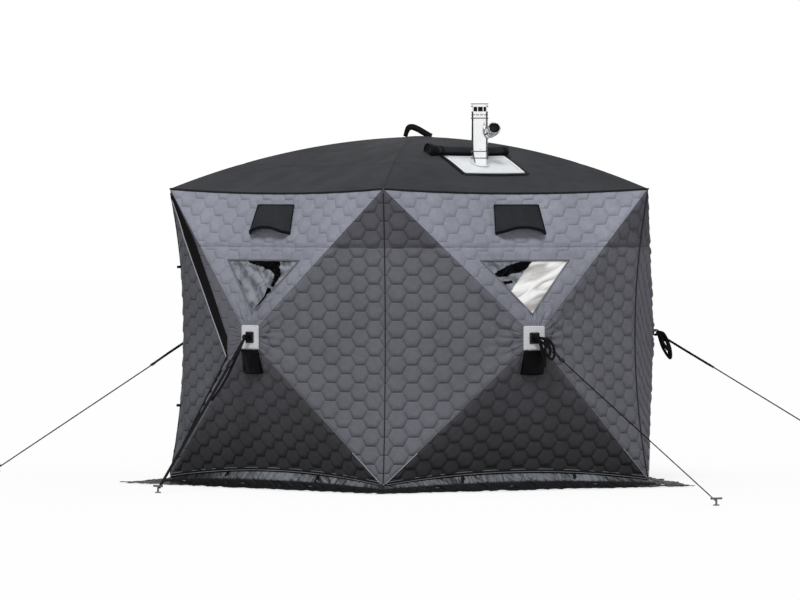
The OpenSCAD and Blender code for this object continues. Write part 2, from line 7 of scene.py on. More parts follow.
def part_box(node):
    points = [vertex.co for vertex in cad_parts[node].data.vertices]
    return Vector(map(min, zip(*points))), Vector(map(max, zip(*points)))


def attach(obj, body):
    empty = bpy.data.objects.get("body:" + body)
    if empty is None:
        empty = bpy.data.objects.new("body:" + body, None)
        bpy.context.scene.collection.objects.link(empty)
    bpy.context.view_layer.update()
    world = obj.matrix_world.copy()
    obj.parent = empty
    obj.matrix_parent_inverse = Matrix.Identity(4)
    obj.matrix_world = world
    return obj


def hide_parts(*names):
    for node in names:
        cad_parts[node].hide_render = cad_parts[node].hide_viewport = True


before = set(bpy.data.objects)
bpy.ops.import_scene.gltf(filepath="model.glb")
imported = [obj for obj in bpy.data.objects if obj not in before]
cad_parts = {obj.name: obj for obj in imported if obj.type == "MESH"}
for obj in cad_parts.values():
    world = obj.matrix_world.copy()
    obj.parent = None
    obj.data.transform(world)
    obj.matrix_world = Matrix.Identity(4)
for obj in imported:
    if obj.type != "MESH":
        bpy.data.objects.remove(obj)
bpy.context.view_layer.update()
scene = bpy.context.scene
print("frame loaded")

# main sizes of the hut in metres, as in the part's source, and the quilting pitch
hut = dict(halfW=0.9, lowZ=0.035, topZ=1.785, hubZ=0.901, apexZ=2.1, hubOut=0.21, poleBow=0.063,
           seamBow=0.088, eaveBow=0.04, eaveDip=0.027, hemRise=0.062, patch=0.0725, capR=0.095, pitch=0.106)
halfW, lowZ, topZ, hubZ = hut["halfW"], hut["lowZ"], hut["topZ"], hut["hubZ"]
fifth = math.radians(36)
sin36, cos36, tan36 = math.sin(fifth), math.cos(fifth), math.tan(fifth)
cosHex = math.cos(math.pi / 6)
apothem = halfW / tan36
hubY = -apothem - hut["hubOut"]
wallNames = ["front", "right", "back", "left", "door"]
stems = ["front", "right", "back", "left", "door_wall"]

# node helpers

def put(tree, kind, inputs=None, **settings):
    node = tree.nodes.new(kind)
    for key, value in settings.items():
        setattr(node, key, value)
    for key, value in (inputs or {}).items():
        if isinstance(value, bpy.types.NodeSocket):
            tree.links.new(value, node.inputs[key])
        else:
            node.inputs[key].default_value = value
    return node


def calc(tree, operation, a, b=0.0, c=0.0):
    return put(tree, "ShaderNodeMath", {0: a, 1: b, 2: c}, operation=operation).outputs[0]


def product(tree, *terms):
    total = terms[0]
    for term in terms[1:]:
        total = calc(tree, "MULTIPLY", total, term)
    return total


def vcalc(tree, operation, a, b=(0, 0, 0), c=(0, 0, 0)):
    node = put(tree, "ShaderNodeVectorMath", {0: a, 1: b, 2: c}, operation=operation)
    return node.outputs["Value" if operation == "LENGTH" else "Vector"]


def scaled(tree, vector, factor):
    node = put(tree, "ShaderNodeVectorMath", {0: vector, "Scale": factor}, operation="SCALE")
    return node.outputs["Vector"]


def split(tree, vector):
    return put(tree, "ShaderNodeSeparateXYZ", {0: vector}).outputs


def ramp(tree, value, low, high, start=0.0, end=1.0):
    limits = {"Value": value, "From Min": low, "From Max": high, "To Min": start, "To Max": end}
    return put(tree, "ShaderNodeMapRange", limits, interpolation_type="SMOOTHSTEP").outputs[0]


def tint(r, g, b):
    # a colour as seen on screen, 0 to 255, to linear light
    return tuple(((c / 255 + 0.055) / 1.055) ** 2.4 if c > 10 else c / 3294.6 for c in (r, g, b)) + (1.0,)


def emptyTree(owner):
    owner.use_nodes = True
    owner.node_tree.nodes.clear()
    return owner.node_tree


def seenRay(tree):
    # 1 for what the camera sees straight on, mirrored or through film
    rays = put(tree, "ShaderNodeLightPath").outputs
    seen = calc(tree, "MAXIMUM", rays["Is Camera Ray"], rays["Is Glossy Ray"])
    return calc(tree, "MAXIMUM", seen, rays["Is Transmission Ray"])


def addObject(name, data):
    made = bpy.data.objects.new(name, data)
    scene.collection.objects.link(made)
    return made


# camera and light

def setCamera():
    spec = dict(at=(5.408, -39.63, 1.785), aim=(-0.1114, -0.0152, 1.105), lens=294.66, sensor=36, far=400)
    lens = bpy.data.cameras.new("camera")
    lens.lens, lens.sensor_width, lens.clip_end = spec["lens"], spec["sensor"], spec["far"]
    camera = addObject("camera", lens)
    camera.location = spec["at"]
    aim = Vector(spec["aim"]) - camera.location
    camera.rotation_euler = aim.to_track_quat("-Z", "Y").to_euler()
    scene.camera = camera


def setLight():
    spec = dict(sky=0.52, sun=1.85, spread=20, toward=(0.03, 0.64, -0.77))
    world = bpy.data.worlds.new("studio")
    scene.world = world
    tree = emptyTree(world)
    soft, white = (put(tree, "ShaderNodeBackground", {"Color": (1, 1, 1, 1), "Strength": power}).outputs[0]
                   for power in (spec["sky"], 1.0))
    both = put(tree, "ShaderNodeMixShader", {0: seenRay(tree), 1: soft, 2: white})
    put(tree, "ShaderNodeOutputWorld", {"Surface": both.outputs[0]})
    sun = bpy.data.lights.new("key", "SUN")
    sun.energy, sun.angle = spec["sun"], math.radians(spec["spread"])
    addObject("key", sun).rotation_euler = Vector(spec["toward"]).to_track_quat("-Z", "Y").to_euler()
    scene.view_settings.view_transform = "Standard"


def makeFloor():
    # a floor that reads white and still takes a shadow
    spec = dict(radius=90, sides=64, level=-0.003, white=0.98, bounce=0.6, glow=0.8)
    mesh = bpy.data.meshes.new("floor")
    turns = [2 * math.pi * k / spec["sides"] for k in range(spec["sides"])]
    edge = [(spec["radius"] * math.cos(a), spec["radius"] * math.sin(a), spec["level"]) for a in turns]
    mesh.from_pydata(edge, [], [tuple(range(spec["sides"]))])
    floor = addObject("floor", mesh)
    paint = bpy.data.materials.new("floor_paint")
    tree = emptyTree(paint)
    seen = seenRay(tree)
    grey = calc(tree, "MULTIPLY_ADD", seen, spec["white"] - spec["bounce"], spec["bounce"])
    matt = put(tree, "ShaderNodeBsdfDiffuse", {"Color": grey})
    glow = put(tree, "ShaderNodeEmission", {"Color": (1, 1, 1, 1), "Strength": 1.0})
    share = calc(tree, "MULTIPLY", seen, spec["glow"])
    both = put(tree, "ShaderNodeMixShader", {0: share, 1: matt.outputs[0], 2: glow.outputs[0]})
    put(tree, "ShaderNodeOutputMaterial", {"Surface": both.outputs[0]})
    mesh.materials.append(paint)


def makeCards():
    # two dark cards out of the frame, seen only as reflections in the metal
    spec = dict(facing=7.9, apart=59, away=5.8, half=2.9, low=0.4, high=5)
    dull = bpy.data.materials.new("card_paint")
    dull.use_nodes = True
    shader = dull.node_tree.nodes["Principled BSDF"]
    shader.inputs["Base Color"].default_value = (0.01, 0.01, 0.01, 1)
    shader.inputs["Specular IOR Level"].default_value = 0.0
    for side, name in ((-1, "card_left"), (1, "card_right")):
        a = math.radians(spec["facing"] + 90 - side * spec["apart"])
        x, y = spec["away"] * math.cos(a), spec["away"] * math.sin(a)
        dx, dy = -spec["half"] * math.sin(a), spec["half"] * math.cos(a)
        low, high = spec["low"], spec["high"]
        mesh = bpy.data.meshes.new("card")
        one, two = (x - dx, y - dy), (x + dx, y + dy)
        corners = [one + (low,), two + (low,), two + (high,), one + (high,)]
        mesh.from_pydata(corners, [], [(0, 1, 2, 3)])
        mesh.materials.append(dull)
        card = addObject(name, mesh)
        card.visible_camera = card.visible_diffuse = card.visible_shadow = card.visible_transmission = False


setCamera()
setLight()
makeFloor()
makeCards()
print("camera and light set")

# materials

def startMaterial(name, rough, sheen=0.0, metal=0.0, specular=0.5):
    material = bpy.data.materials.new(name)
    material.use_nodes = True
    shader = material.node_tree.nodes["Principled BSDF"]
    for key, value in (("Roughness", rough), ("Metallic", metal), ("Sheen Weight", sheen),
                       ("Sheen Roughness", 0.45), ("Specular IOR Level", specular)):
        shader.inputs[key].default_value = value
    return material, material.node_tree, shader


def feed(tree, shader, **sockets):
    names = dict(colour="Base Color", rough="Roughness", alpha="Alpha", normal="Normal")
    for key, socket in sockets.items():
        tree.links.new(socket, shader.inputs[names[key]])


def clothAt(tree):
    return put(tree, "ShaderNodeUVMap", uv_map="cloth").outputs[0]


def bodyAt(tree):
    return put(tree, "ShaderNodeTexCoord").outputs["Object"]


def layer(tree, name):
    return put(tree, "ShaderNodeAttribute", attribute_name=name).outputs["Fac"]


def cloud(tree, where, scale, detail, twist=0.0, rough=0.5):
    return put(tree, "ShaderNodeTexNoise", {"Vector": where, "Scale": scale, "Detail": detail,
               "Roughness": rough, "Distortion": twist}).outputs["Fac"]


def blotch(tree, where, scale, low, high, detail=4.0):
    return ramp(tree, cloud(tree, where, scale, detail, 0.0, 0.6), 0.3, 0.7, low, high)


def relief(tree, height, strength, distance):
    values = {"Height": height, "Strength": strength, "Distance": distance}
    return put(tree, "ShaderNodeBump", values).outputs[0]


def slanted(tree, where, angle, stretch):
    turned = put(tree, "ShaderNodeVectorRotate", {"Vector": where, "Angle": angle}, rotation_type="Z_AXIS")
    return vcalc(tree, "MULTIPLY", turned.outputs[0], stretch)


def mixColour(tree, factor, a, b):
    return put(tree, "ShaderNodeMix", {0: factor, 6: a, 7: b}, data_type="RGBA").outputs[2]


def hexEdge(tree, where, pitch):
    # how far a point is from the nearest quilting line, in pitches: 0 on the line, 0.5 in the middle;
    # and how high it lies in its cell, -0.5 to 0.5
    half, low = (cosHex, 0.5, 0.5), (-cosHex, -0.5, -0.5)
    cells = scaled(tree, where, calc(tree, "DIVIDE", 1.0, pitch))
    one, two = (vcalc(tree, "MULTIPLY", vcalc(tree, "WRAP", at, half, low), (1, 1, 0))
                for at in (cells, vcalc(tree, "ADD", cells, half)))
    nearer = calc(tree, "LESS_THAN", vcalc(tree, "LENGTH", two), vcalc(tree, "LENGTH", one))
    cell = put(tree, "ShaderNodeMix", {0: nearer, 4: one, 5: two}, data_type="VECTOR").outputs[1]
    away = split(tree, vcalc(tree, "ABSOLUTE", cell))
    slant = calc(tree, "ADD", product(tree, away[0], cosHex), product(tree, away[1], 0.5))
    return calc(tree, "SUBTRACT", 0.5, calc(tree, "MAXIMUM", away[1], slant)), split(tree, cell)[1]


def weaveBump(tree, shader, where, pitch, depth, extra=None):
    # threads crossing each other, with any larger relief added
    at = split(tree, where)
    warp, weft = (calc(tree, "SINE", product(tree, at[k], 2 * math.pi / pitch)) for k in (0, 1))
    crossed = product(tree, warp, weft)
    height = product(tree, crossed, depth)
    if extra is not None:
        height = calc(tree, "ADD", height, extra)
    feed(tree, shader, normal=relief(tree, height, 0.6, 1.0))
    return crossed


def quiltCloth(name, colour, lineDark, press=0.0036, fade=(0.0, 1.0, 1.0, 1.0), rough=0.74):
    # quilted shell cloth: woven face, darker pressed hexagon lines that carry painted shade in their
    # grooves, paler cell middles as painted light on the puffs, sewn seams, faint dirt;
    # fade is painted light and shade, making it paler or darker from one height above the hub to another
    material, tree, shader = startMaterial(name, rough, 0.03, 0.0, 0.12)
    cloth, body = clothAt(tree), bodyAt(tree)
    flat = split(tree, cloth)
    edge, level = hexEdge(tree, cloth, hut["pitch"])
    # a painted highlight on the upper lip of each cell, and painted shade along the line under it
    lip = product(tree, ramp(tree, edge, 0.02, 0.07, 1.0, 0.0), ramp(tree, level, 0.36, 0.46))
    under = product(tree, ramp(tree, edge, 0.0, 0.04, 1.0, 0.0), ramp(tree, level, -0.36, -0.44))
    contrast = 1.05 - lineDark
    tone = product(
        # painted shade in the stitched grooves, painted light on the puffed cell middles
        tree, ramp(tree, edge, 0.004, 0.030, lineDark, 1.0), ramp(tree, edge, 0.03, 0.40, 0.98, 1.02),
        blotch(tree, body, 2.6, 0.90, 1.08), blotch(tree, body, 240.0, 0.90, 1.09, 2.0),
        blotch(tree, body, 34.0, 0.95, 1.05), ramp(tree, layer(tree, "seam"), 0.3, 0.95, 1.0, 0.62),
        # painted light and shade by height, then the painted highlight on each lip and the painted shade
        # under it
        ramp(tree, flat[1], *fade), calc(tree, "MULTIPLY_ADD", lip, 1.6 * contrast, 1.0),
        calc(tree, "MULTIPLY_ADD", under, -3.2 * contrast, 1.0))
    feed(tree, shader, colour=scaled(tree, colour[:3], tone),
         rough=blotch(tree, body, 5.0, rough - 0.07, rough + 0.06))
    # small creases, cells that hang a little, and folds drawn in towards the hub
    crease = cloud(tree, body, 26.0, 3.0, 0.8)
    hang = product(tree, ramp(tree, edge, 0.0, 0.085, 0.0, press), ramp(tree, level, -0.5, 0.5, 1.9, 0.7))
    angle = product(tree, calc(tree, "ARCTAN2", flat[1], flat[0]), 38.0)
    drawn = product(tree, calc(tree, "SINE", calc(tree, "MULTIPLY_ADD", crease, 9.0, angle)),
                    ramp(tree, vcalc(tree, "LENGTH", cloth), 0.10, 0.27, 0.0030, 0.0))
    height = calc(tree, "ADD", calc(tree, "MULTIPLY_ADD", crease, 0.0040, hang), drawn)
    weaveBump(tree, shader, cloth, 0.0022, 0.00012, height)
    return material


def plainCloth(name, colour, pitch, rough, crumple, vary=0.1, specular=0.12, scale=14.0):
    # plain woven or coated cloth with small creases
    material, tree, shader = startMaterial(name, rough, 0.0, 0.0, specular)
    cloth, body = clothAt(tree), bodyAt(tree)
    tone = product(tree, blotch(tree, body, 3.2, 1 - vary, 1 + vary),
                   blotch(tree, body, 300.0, 0.94, 1.06, 2.0),
                   ramp(tree, layer(tree, "seam"), 0.25, 0.9, 1.0, 0.7))
    feed(tree, shader, colour=scaled(tree, colour[:3], tone),
         rough=blotch(tree, body, 6.0, rough - 0.08, rough + 0.06))
    crease = product(tree, cloud(tree, body, scale, 5.0, 1.2), crumple)
    weaveBump(tree, shader, cloth, pitch, 0.00012, crease)
    return material


def webbing(name, colour, rough=0.62):
    # ribbed strap weave, running along the strap
    material, tree, shader = startMaterial(name, rough, 0.0, 0.0, 0.1)
    rib = weaveBump(tree, shader, clothAt(tree), 0.0032, 0.0004)
    tone = product(tree, ramp(tree, rib, -1.0, 1.0, 0.78, 1.15), blotch(tree, bodyAt(tree), 30.0, 0.88, 1.1))
    feed(tree, shader, colour=scaled(tree, colour[:3], tone))
    return material


def moulded(name, colour, rough=0.45, grain=380.0):
    # moulded plastic with a fine grain and slight scuffs
    material, tree, shader = startMaterial(name, rough, 0.0, 0.0, 0.22)
    body = bodyAt(tree)
    tone = product(tree, blotch(tree, body, 9.0, 0.86, 1.12), blotch(tree, body, 90.0, 0.94, 1.06))
    feed(tree, shader, colour=scaled(tree, colour[:3], tone),
         rough=blotch(tree, body, 40.0, rough - 0.1, rough + 0.12),
         normal=relief(tree, cloud(tree, body, grain, 2.0), 0.25, 0.0006))
    return material


def skirtSheet(name, colour):
    # coated black sheet with painted light: painted shade leaves it nearly black below, and painted
    # highlights make it paler where its gathered folds would catch the light
    material, tree, shader = startMaterial(name, 0.42, 0.0, 0.0, 0.10)
    fine = cloud(tree, slanted(tree, clothAt(tree), -0.75, (54.0, 24.0, 1.0)), 1.0, 5.0, 1.8)
    # painted highlight: the painted light laid on the folds, broken into slanting streaks
    paintedShine = product(tree, layer(tree, "paintedLight"), ramp(tree, fine, 0.30, 0.68, 0.35, 1.25))
    tone = product(tree, ramp(tree, paintedShine, 0.04, 0.90, 0.58, 13.0),
                   blotch(tree, bodyAt(tree), 5.0, 0.82, 1.15))
    feed(tree, shader, colour=scaled(tree, colour[:3], tone), normal=relief(tree, fine, 0.7, 0.010))
    return material


def sheetSteel(name, colour, rough, streak, blackening):
    # bright sheet steel, brushed along its length, with heat stain and finger marks
    material, tree, shader = startMaterial(name, rough, 0.0, 1.0)
    body = bodyAt(tree)
    brushed = cloud(tree, vcalc(tree, "MULTIPLY", body, streak), 6.0, 3.0)
    tone = product(tree, ramp(tree, brushed, 0.25, 0.75, 0.94, 1.02),
                   blotch(tree, body, 11.0, 1.0 - blackening, 1.04))
    feed(tree, shader, colour=scaled(tree, colour[:3], tone),
         rough=blotch(tree, body, 18.0, rough - 0.08, rough + 0.14),
         normal=relief(tree, brushed, 0.06, 0.001))
    return material


def clearFilm(name):
    # clear vinyl, creased from folding: hazy along the creases, open between them; its pale streaks are
    # painted reflections, and one fold carries a painted reflection of bright sky
    material, tree, shader = startMaterial(name, 0.16, 0.0, 0.0, 0.1)
    cloth, paintedGleam, fog = clothAt(tree), layer(tree, "paintedGleam"), layer(tree, "fog")
    haze = cloud(tree, cloth, 11.0, 7.0, 2.0)
    lean = ramp(tree, paintedGleam, 0.0, 1.0, 0.75, -0.35)
    streak = cloud(tree, slanted(tree, cloth, lean, (3.0, 17.0, 1.0)), 1.0, 4.0, 0.7)
    veil = ramp(tree, calc(tree, "MULTIPLY_ADD", haze, 1.6, fog), 0.74, 0.92, 0.02, 0.98)
    soft = calc(tree, "MULTIPLY_ADD", haze, 0.5, product(tree, streak, 0.5))
    # painted reflections: pale streaks over the creases, near white on the fold with the painted reflection
    tone = put(tree, "ShaderNodeMix", {0: paintedGleam, 2: ramp(tree, soft, 0.39, 0.59),
               3: ramp(tree, streak, 0.32, 0.55)}, data_type="FLOAT").outputs[0]
    low = mixColour(tree, paintedGleam, tint(84, 87, 93), tint(170, 166, 164))
    high = mixColour(tree, paintedGleam, tint(140, 144, 152), tint(247, 247, 247))
    feed(tree, shader, colour=mixColour(tree, tone, low, high), alpha=veil,
         normal=relief(tree, streak, 0.6, 0.012))
    return material


cloths = dict(
    # quilts: colour, how dark the painted groove shade gets, bump relief, and the painted light and shade by
    # height
    light=quiltCloth("light_quilt", tint(142, 144, 156), 0.97, 0.0021, (0.12, 0.72, 0.68, 1.02)),
    mid=quiltCloth("mid_quilt", tint(100, 100, 108), 0.94, 0.0036, (0.50, 0.57, 0.95, 0.68)),
    door=quiltCloth("door_quilt", tint(85, 86, 92), 0.90, 0.0046),
    dark=quiltCloth("dark_quilt", tint(58, 58, 62), 0.94, 0.0040, (-0.85, -0.15, 0.78, 1.55)),
    skirt=skirtSheet("skirt_sheet", tint(31, 32, 34)),
    strap=webbing("black_webbing", tint(16, 16, 18)),
    rope=webbing("black_rope", tint(13, 13, 15), 0.74),
    film=clearFilm("clear_film"),
    # near-black finish for the painted shadow and shade in the flue
    blackening=moulded("shade_black", tint(12, 12, 13), 0.75),
    plastic=moulded("black_plastic", tint(18, 18, 20)),
    fibre=moulded("pole_fibre", tint(34, 34, 37), 0.38, 160.0),
    band=sheetSteel("band_steel", tint(96, 98, 101), 0.34, (60.0, 60.0, 60.0), 0.2),
    zinc=sheetSteel("zinc_steel", tint(104, 106, 109), 0.42, (40.0, 40.0, 40.0), 0.25),
    steel=sheetSteel("flue_steel", tint(244, 245, 246), 0.17, (90.0, 90.0, 2.0), 0.05),
)
# plain cloths: colour, thread pitch, roughness, crumple, then how much it varies, gloss and crease scale
plain = dict(
    lining=("lining_cloth", (52, 53, 57), 0.002, 0.78, 0.001),
    roof=("roof_cloth", (58, 59, 62), 0.0022, 0.80, 0.0045, 0.10, 0.06),
    welt=("welt_cord", (38, 38, 41), 0.0012, 0.7, 0.0006, 0.1, 0.06),
    black=("black_cloth", (30, 30, 33), 0.0018, 0.70, 0.003, 0.12, 0.08),
    jet=("jet_cloth", (12, 12, 14), 0.0018, 0.62, 0.003, 0.12, 0.06),
    vent=("vent_cloth", (38, 39, 43), 0.0018, 0.70, 0.016, 0.18, 0.10),
    piping=("pale_piping", (150, 152, 156), 0.001, 0.6, 0.0005),
    patch=("pale_patch", (204, 205, 208), 0.0016, 0.6, 0.001, 0.05),
    silver=("silver_cloth", (219, 223, 227), 0.003, 0.42, 0.003, 0.06, 0.3, 30.0),
    thread=("grey_thread", (140, 142, 146), 0.001, 0.6, 0.0003),
    tape=("window_tape", (112, 114, 122), 0.0014, 0.66, 0.0006, 0.05),
    dimThread=("dark_thread", (58, 59, 63), 0.001, 0.6, 0.0003),
    net=("vent_net", (12, 12, 13), 0.003, 0.8, 0.0004, 0.1, 0.04),
    gloss=("coated_black", (6, 6, 8), 0.0012, 0.50, 0.004, 0.12, 0.05, 40.0),
    cover=("cover_cloth", (41, 42, 45), 0.0020, 0.78, 0.006, 0.14, 0.06),
    edging=("white_edging", (246, 247, 248), 0.0016, 0.5, 0.0006, 0.02, 0.2),
)
for key, (name, colour, *values) in plain.items():
    cloths[key] = plainCloth(name, tint(*colour), *values)
print("materials made", len(cloths))

# mesh helpers

def vec(x, y, z):
    return np.array([x, y, z], float)


def pts(x, y, z):
    # points from columns of x, y and z, any of which may be one number
    return np.stack(np.broadcast_arrays(x, y, z), -1).astype(float)


def mix(a, b, t):
    t = np.asarray(t, float)[..., None]
    return np.asarray(a, float) * (1 - t) + np.asarray(b, float) * t


def bow(u):
    return 4 * u * (1 - u)


def smooth(t):
    t = np.clip(t, 0, 1)
    return t * t * (3 - 2 * t)


def bell(t, width):
    return np.exp(-(t / width) ** 2)


def unit(rows):
    return rows / np.linalg.norm(rows, axis=-1, keepdims=True)


def turnTo(points, wall):
    # from a wall's own frame, facing -Y, to its place round the hut
    a = fifth * (1 + 2 * wall)
    c, s = math.cos(a), math.sin(a)
    p = np.asarray(points, float)
    return pts(p[..., 0] * c - p[..., 1] * s, p[..., 0] * s + p[..., 1] * c, p[..., 2])


def uvGrid(columns, rows):
    u, v = np.linspace(0, 1, columns + 1), np.linspace(0, 1, rows + 1)
    return np.tile(u, rows + 1), np.repeat(v, columns + 1)


def gridFaces(columns, rows, flip=False):
    n = columns + 1
    starts = [r * n + i for r in range(rows) for i in range(columns)]
    return [(a, a + n, a + n + 1, a + 1) if flip else (a, a + 1, a + n + 1, a + n) for a in starts]


def reverse(faces):
    return [tuple(reversed(face)) for face in faces]


def weave(surface, cell):
    # rows of points a cell apart, wide rows having more points, zipped into triangles
    probe = np.linspace(0, 1, 33)
    run = lambda line: np.linalg.norm(np.diff(line, axis=0), axis=1).sum()
    length = run(surface(np.full(33, 0.5), probe))
    rows = max(2, int(math.ceil(length / cell)))
    points, params, first, counts, faces = [], [], [], [], []
    total = 0
    for v in np.linspace(0, 1, rows + 1):
        width = run(surface(probe, np.full(33, v)))
        n = max(2, int(math.ceil(width / cell)))
        u = np.linspace(0, 1, n + 1)
        points.append(surface(u, np.full(n + 1, v)))
        border = np.minimum(np.minimum(u, 1 - u) * width, min(v, 1 - v) * length)
        params.append(pts(u, v, border))
        first.append(total)
        counts.append(n)
        total += n + 1
    for r in range(rows):
        a0, an, b0, bn = first[r], counts[r], first[r + 1], counts[r + 1]
        i = j = 0
        while i < an or j < bn:
            if j == bn or (i < an and (i + 1) * bn <= (j + 1) * an):
                faces.append((a0 + i, a0 + i + 1, b0 + j))
                i += 1
            else:
                faces.append((a0 + i, b0 + j + 1, b0 + j))
                j += 1
    return np.concatenate(points), np.concatenate(params), faces


def joinParts(parts):
    # several (points, faces, uv) lists as one
    faces, start = [], 0
    for p, f, t in parts:
        faces += [tuple(i + start for i in face) for face in f]
        start += len(p)
    return np.concatenate([p for p, f, t in parts]), faces, np.concatenate([t for p, f, t in parts])


def makePiece(name, points, faces, uv, material, layers=None):
    mesh = bpy.data.meshes.new(name)
    mesh.from_pydata(np.asarray(points, float).tolist(), [], faces)
    corner = np.zeros(len(mesh.loops), np.int32)
    mesh.loops.foreach_get("vertex_index", corner)
    spread = mesh.uv_layers.new(name="cloth")
    spread.data.foreach_set("uv", np.asarray(uv, np.float32)[corner][:, :2].ravel())
    for key, values in (layers or {}).items():
        values = np.asarray(values, np.float32)
        kind, field = ("FLOAT_VECTOR", "vector") if values.ndim == 2 else ("FLOAT", "value")
        mesh.attributes.new(key, kind, "POINT").data.foreach_set(field, values.ravel())
    mesh.polygons.foreach_set("use_smooth", np.ones(len(mesh.polygons), bool))
    mesh.materials.append(material)
    return addObject(name, mesh)


def place(piece, nodes=(), body="shelter"):
    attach(piece, body)
    if nodes:
        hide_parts(*nodes)
    return piece


def assemble(name, parts, cloth, nodes=()):
    return place(makePiece(name, *joinParts(parts), cloths[cloth]), nodes)


def clothArea(points, faces):
    p = np.asarray(points, float)
    total = 0.0
    for face in faces:
        for k in range(1, len(face) - 1):
            total += 0.5 * np.linalg.norm(np.cross(p[face[k]] - p[face[0]], p[face[k + 1]] - p[face[0]]))
    return total


def rim(points, faces, inner):
    # a closed thin sheet from an open one: the same faces again inside, and a border all round
    n = len(points)
    edges = {(a, b) for face in faces for a, b in zip(face, face[1:] + face[:1])}
    border = [(a, b) for face in faces for a, b in zip(face, face[1:] + face[:1]) if (b, a) not in edges]
    closed = list(faces) + [tuple(i + n for i in reversed(f)) for f in faces]
    closed += [(b, a, a + n, b + n) for a, b in border]
    return np.concatenate([points, inner]), closed


def tangents(path, closed=False):
    return unit(np.roll(path, -1, 0) - np.roll(path, 1, 0) if closed else np.gradient(path, axis=0))


def sweep(path, profile, up, closed=False, scale=None, spin=0.0):
    # a profile carried along a path, with caps; spin twists it, in turns per metre
    path, profile = np.asarray(path, float), np.asarray(profile, float)
    n, m = len(path), len(profile)
    ahead = tangents(path, closed)
    side = unit(np.cross(ahead, np.broadcast_to(np.asarray(up, float), path.shape)))
    over = np.cross(side, ahead)
    step, girth = (np.concatenate([[0], np.cumsum(np.linalg.norm(np.diff(line, axis=0), axis=1))])
                   for line in (path, profile))
    size = np.ones(n) if scale is None else np.asarray(scale, float)
    points, uv = [], []
    for i in range(n):
        a = 2 * math.pi * spin * step[i]
        c, s = math.cos(a), math.sin(a)
        x = (profile[:, 0] * c - profile[:, 1] * s) * size[i]
        y = (profile[:, 0] * s + profile[:, 1] * c) * size[i]
        points.append(path[i] + x[:, None] * side[i] + y[:, None] * over[i])
        uv.append(np.stack([girth, np.full(m, step[i])], -1))
    faces = []
    for i in range(n if closed else n - 1):
        a, b = i * m, ((i + 1) % n) * m
        faces += [(a + k, b + k, b + (k + 1) % m, a + (k + 1) % m) for k in range(m)]
    if not closed:
        faces.append(tuple(range(m)))
        faces.append(tuple(reversed(range((n - 1) * m, n * m))))
    return np.concatenate(points), faces, np.concatenate(uv)


def rod(wall, path, profile, up, closed=False, spin=0.0):
    # a sweep made in a wall's own frame and turned to its place
    points, faces, uv = sweep(path, profile, up, closed, None, spin)
    return turnTo(points, wall), faces, uv


def turns(count):
    return np.linspace(0, 2 * math.pi, count + 1)[:-1]


def hoop(x, y, z, radius, count):
    return pts(x + radius * np.cos(turns(count)), y + radius * np.sin(turns(count)), z)


def ring(radius, sides, lobes=0, depth=0.0):
    a = np.arange(sides) * 2 * math.pi / sides
    r = radius * (1 - depth * (0.5 - 0.5 * np.cos(lobes * a)))
    return np.stack([r * np.cos(a), -r * np.sin(a)], -1)


def strapProfile(width, thick):
    # a flat strap with eased edges
    half = np.array([(-1, 0.4), (-0.94, 1), (0.94, 1), (1, 0.4)]) * np.array([width / 2, thick / 2])
    return np.concatenate([half, -half])


def curveThrough(points, count):
    # a smooth line through the given points
    p = np.asarray(points, float)
    p = np.concatenate([[2 * p[0] - p[1]], p, [2 * p[-1] - p[-2]]])
    t = np.linspace(0, len(p) - 3, count)
    i = np.minimum(t.astype(int), len(p) - 4)
    f = (t - i)[:, None]
    a, b, c, d = p[i], p[i + 1], p[i + 2], p[i + 3]
    square, cube = 2 * a - 5 * b + 4 * c - d, 3 * b - a - 3 * c + d
    return 0.5 * (2 * b + (c - a) * f + square * f ** 2 + cube * f ** 3)


def ripple(points, scale, seed=0.0):
    # smooth noise from -1 to 1 at each point
    shift = np.array([seed, -seed, 2 * seed])
    return np.array([noise.noise(p) for p in (np.asarray(points) * scale + shift).tolist()])


# node trees for the quilting and for rows of stitches and teeth

def startTree(name, values, cloth):
    tree = bpy.data.node_groups.new(name, "GeometryNodeTree")
    sockets = [("Geometry", "INPUT", "Geometry")] + [(label, "INPUT", "Float") for label in values]
    for label, way, kind in sockets + [(cloth, "INPUT", "Material"), ("Geometry", "OUTPUT", "Geometry")]:
        tree.interface.new_socket(label, in_out=way, socket_type="NodeSocket" + kind)
    return tree, tree.nodes.new("NodeGroupInput").outputs


def endTree(tree, geometry, material):
    real = put(tree, "GeometryNodeRealizeInstances", {"Geometry": geometry})
    dressed = put(tree, "GeometryNodeSetMaterial", {"Geometry": real.outputs[0], "Material": material})
    put(tree, "NodeGroupOutput", {"Geometry": dressed.outputs[0]})
    return tree


def quiltTree():
    # hexagon cells that puff out along the normals
    tree, given = startTree("hexQuilt", ("Pitch", "Puff", "Shoulder"), "Cloth")
    named = "GeometryNodeInputNamedAttribute"
    lay, ease = (put(tree, named, {"Name": name}, data_type=kind).outputs["Attribute"]
                 for name, kind in (("lay", "FLOAT_VECTOR"), ("ease", "FLOAT")))
    edge, level = hexEdge(tree, lay, given["Pitch"])
    rise = calc(tree, "MINIMUM", calc(tree, "DIVIDE", edge, given["Shoulder"]), 1.0)
    rise = calc(tree, "SUBTRACT", 1.0, calc(tree, "POWER", calc(tree, "SUBTRACT", 1.0, rise), 2.0))
    wander = calc(tree, "ADD", product(tree, cloud(tree, lay, 7.0, 1.0), 0.8), 0.6)
    hang = calc(tree, "MULTIPLY_ADD", level, -0.9, 1.0)
    rise = product(tree, rise, wander, hang, given["Puff"], ease)
    out = scaled(tree, tree.nodes.new("GeometryNodeInputNormal").outputs[0], rise)
    moved = put(tree, "GeometryNodeSetPosition", {"Geometry": given["Geometry"], "Offset": out})
    return endTree(tree, moved.outputs[0], given["Cloth"])


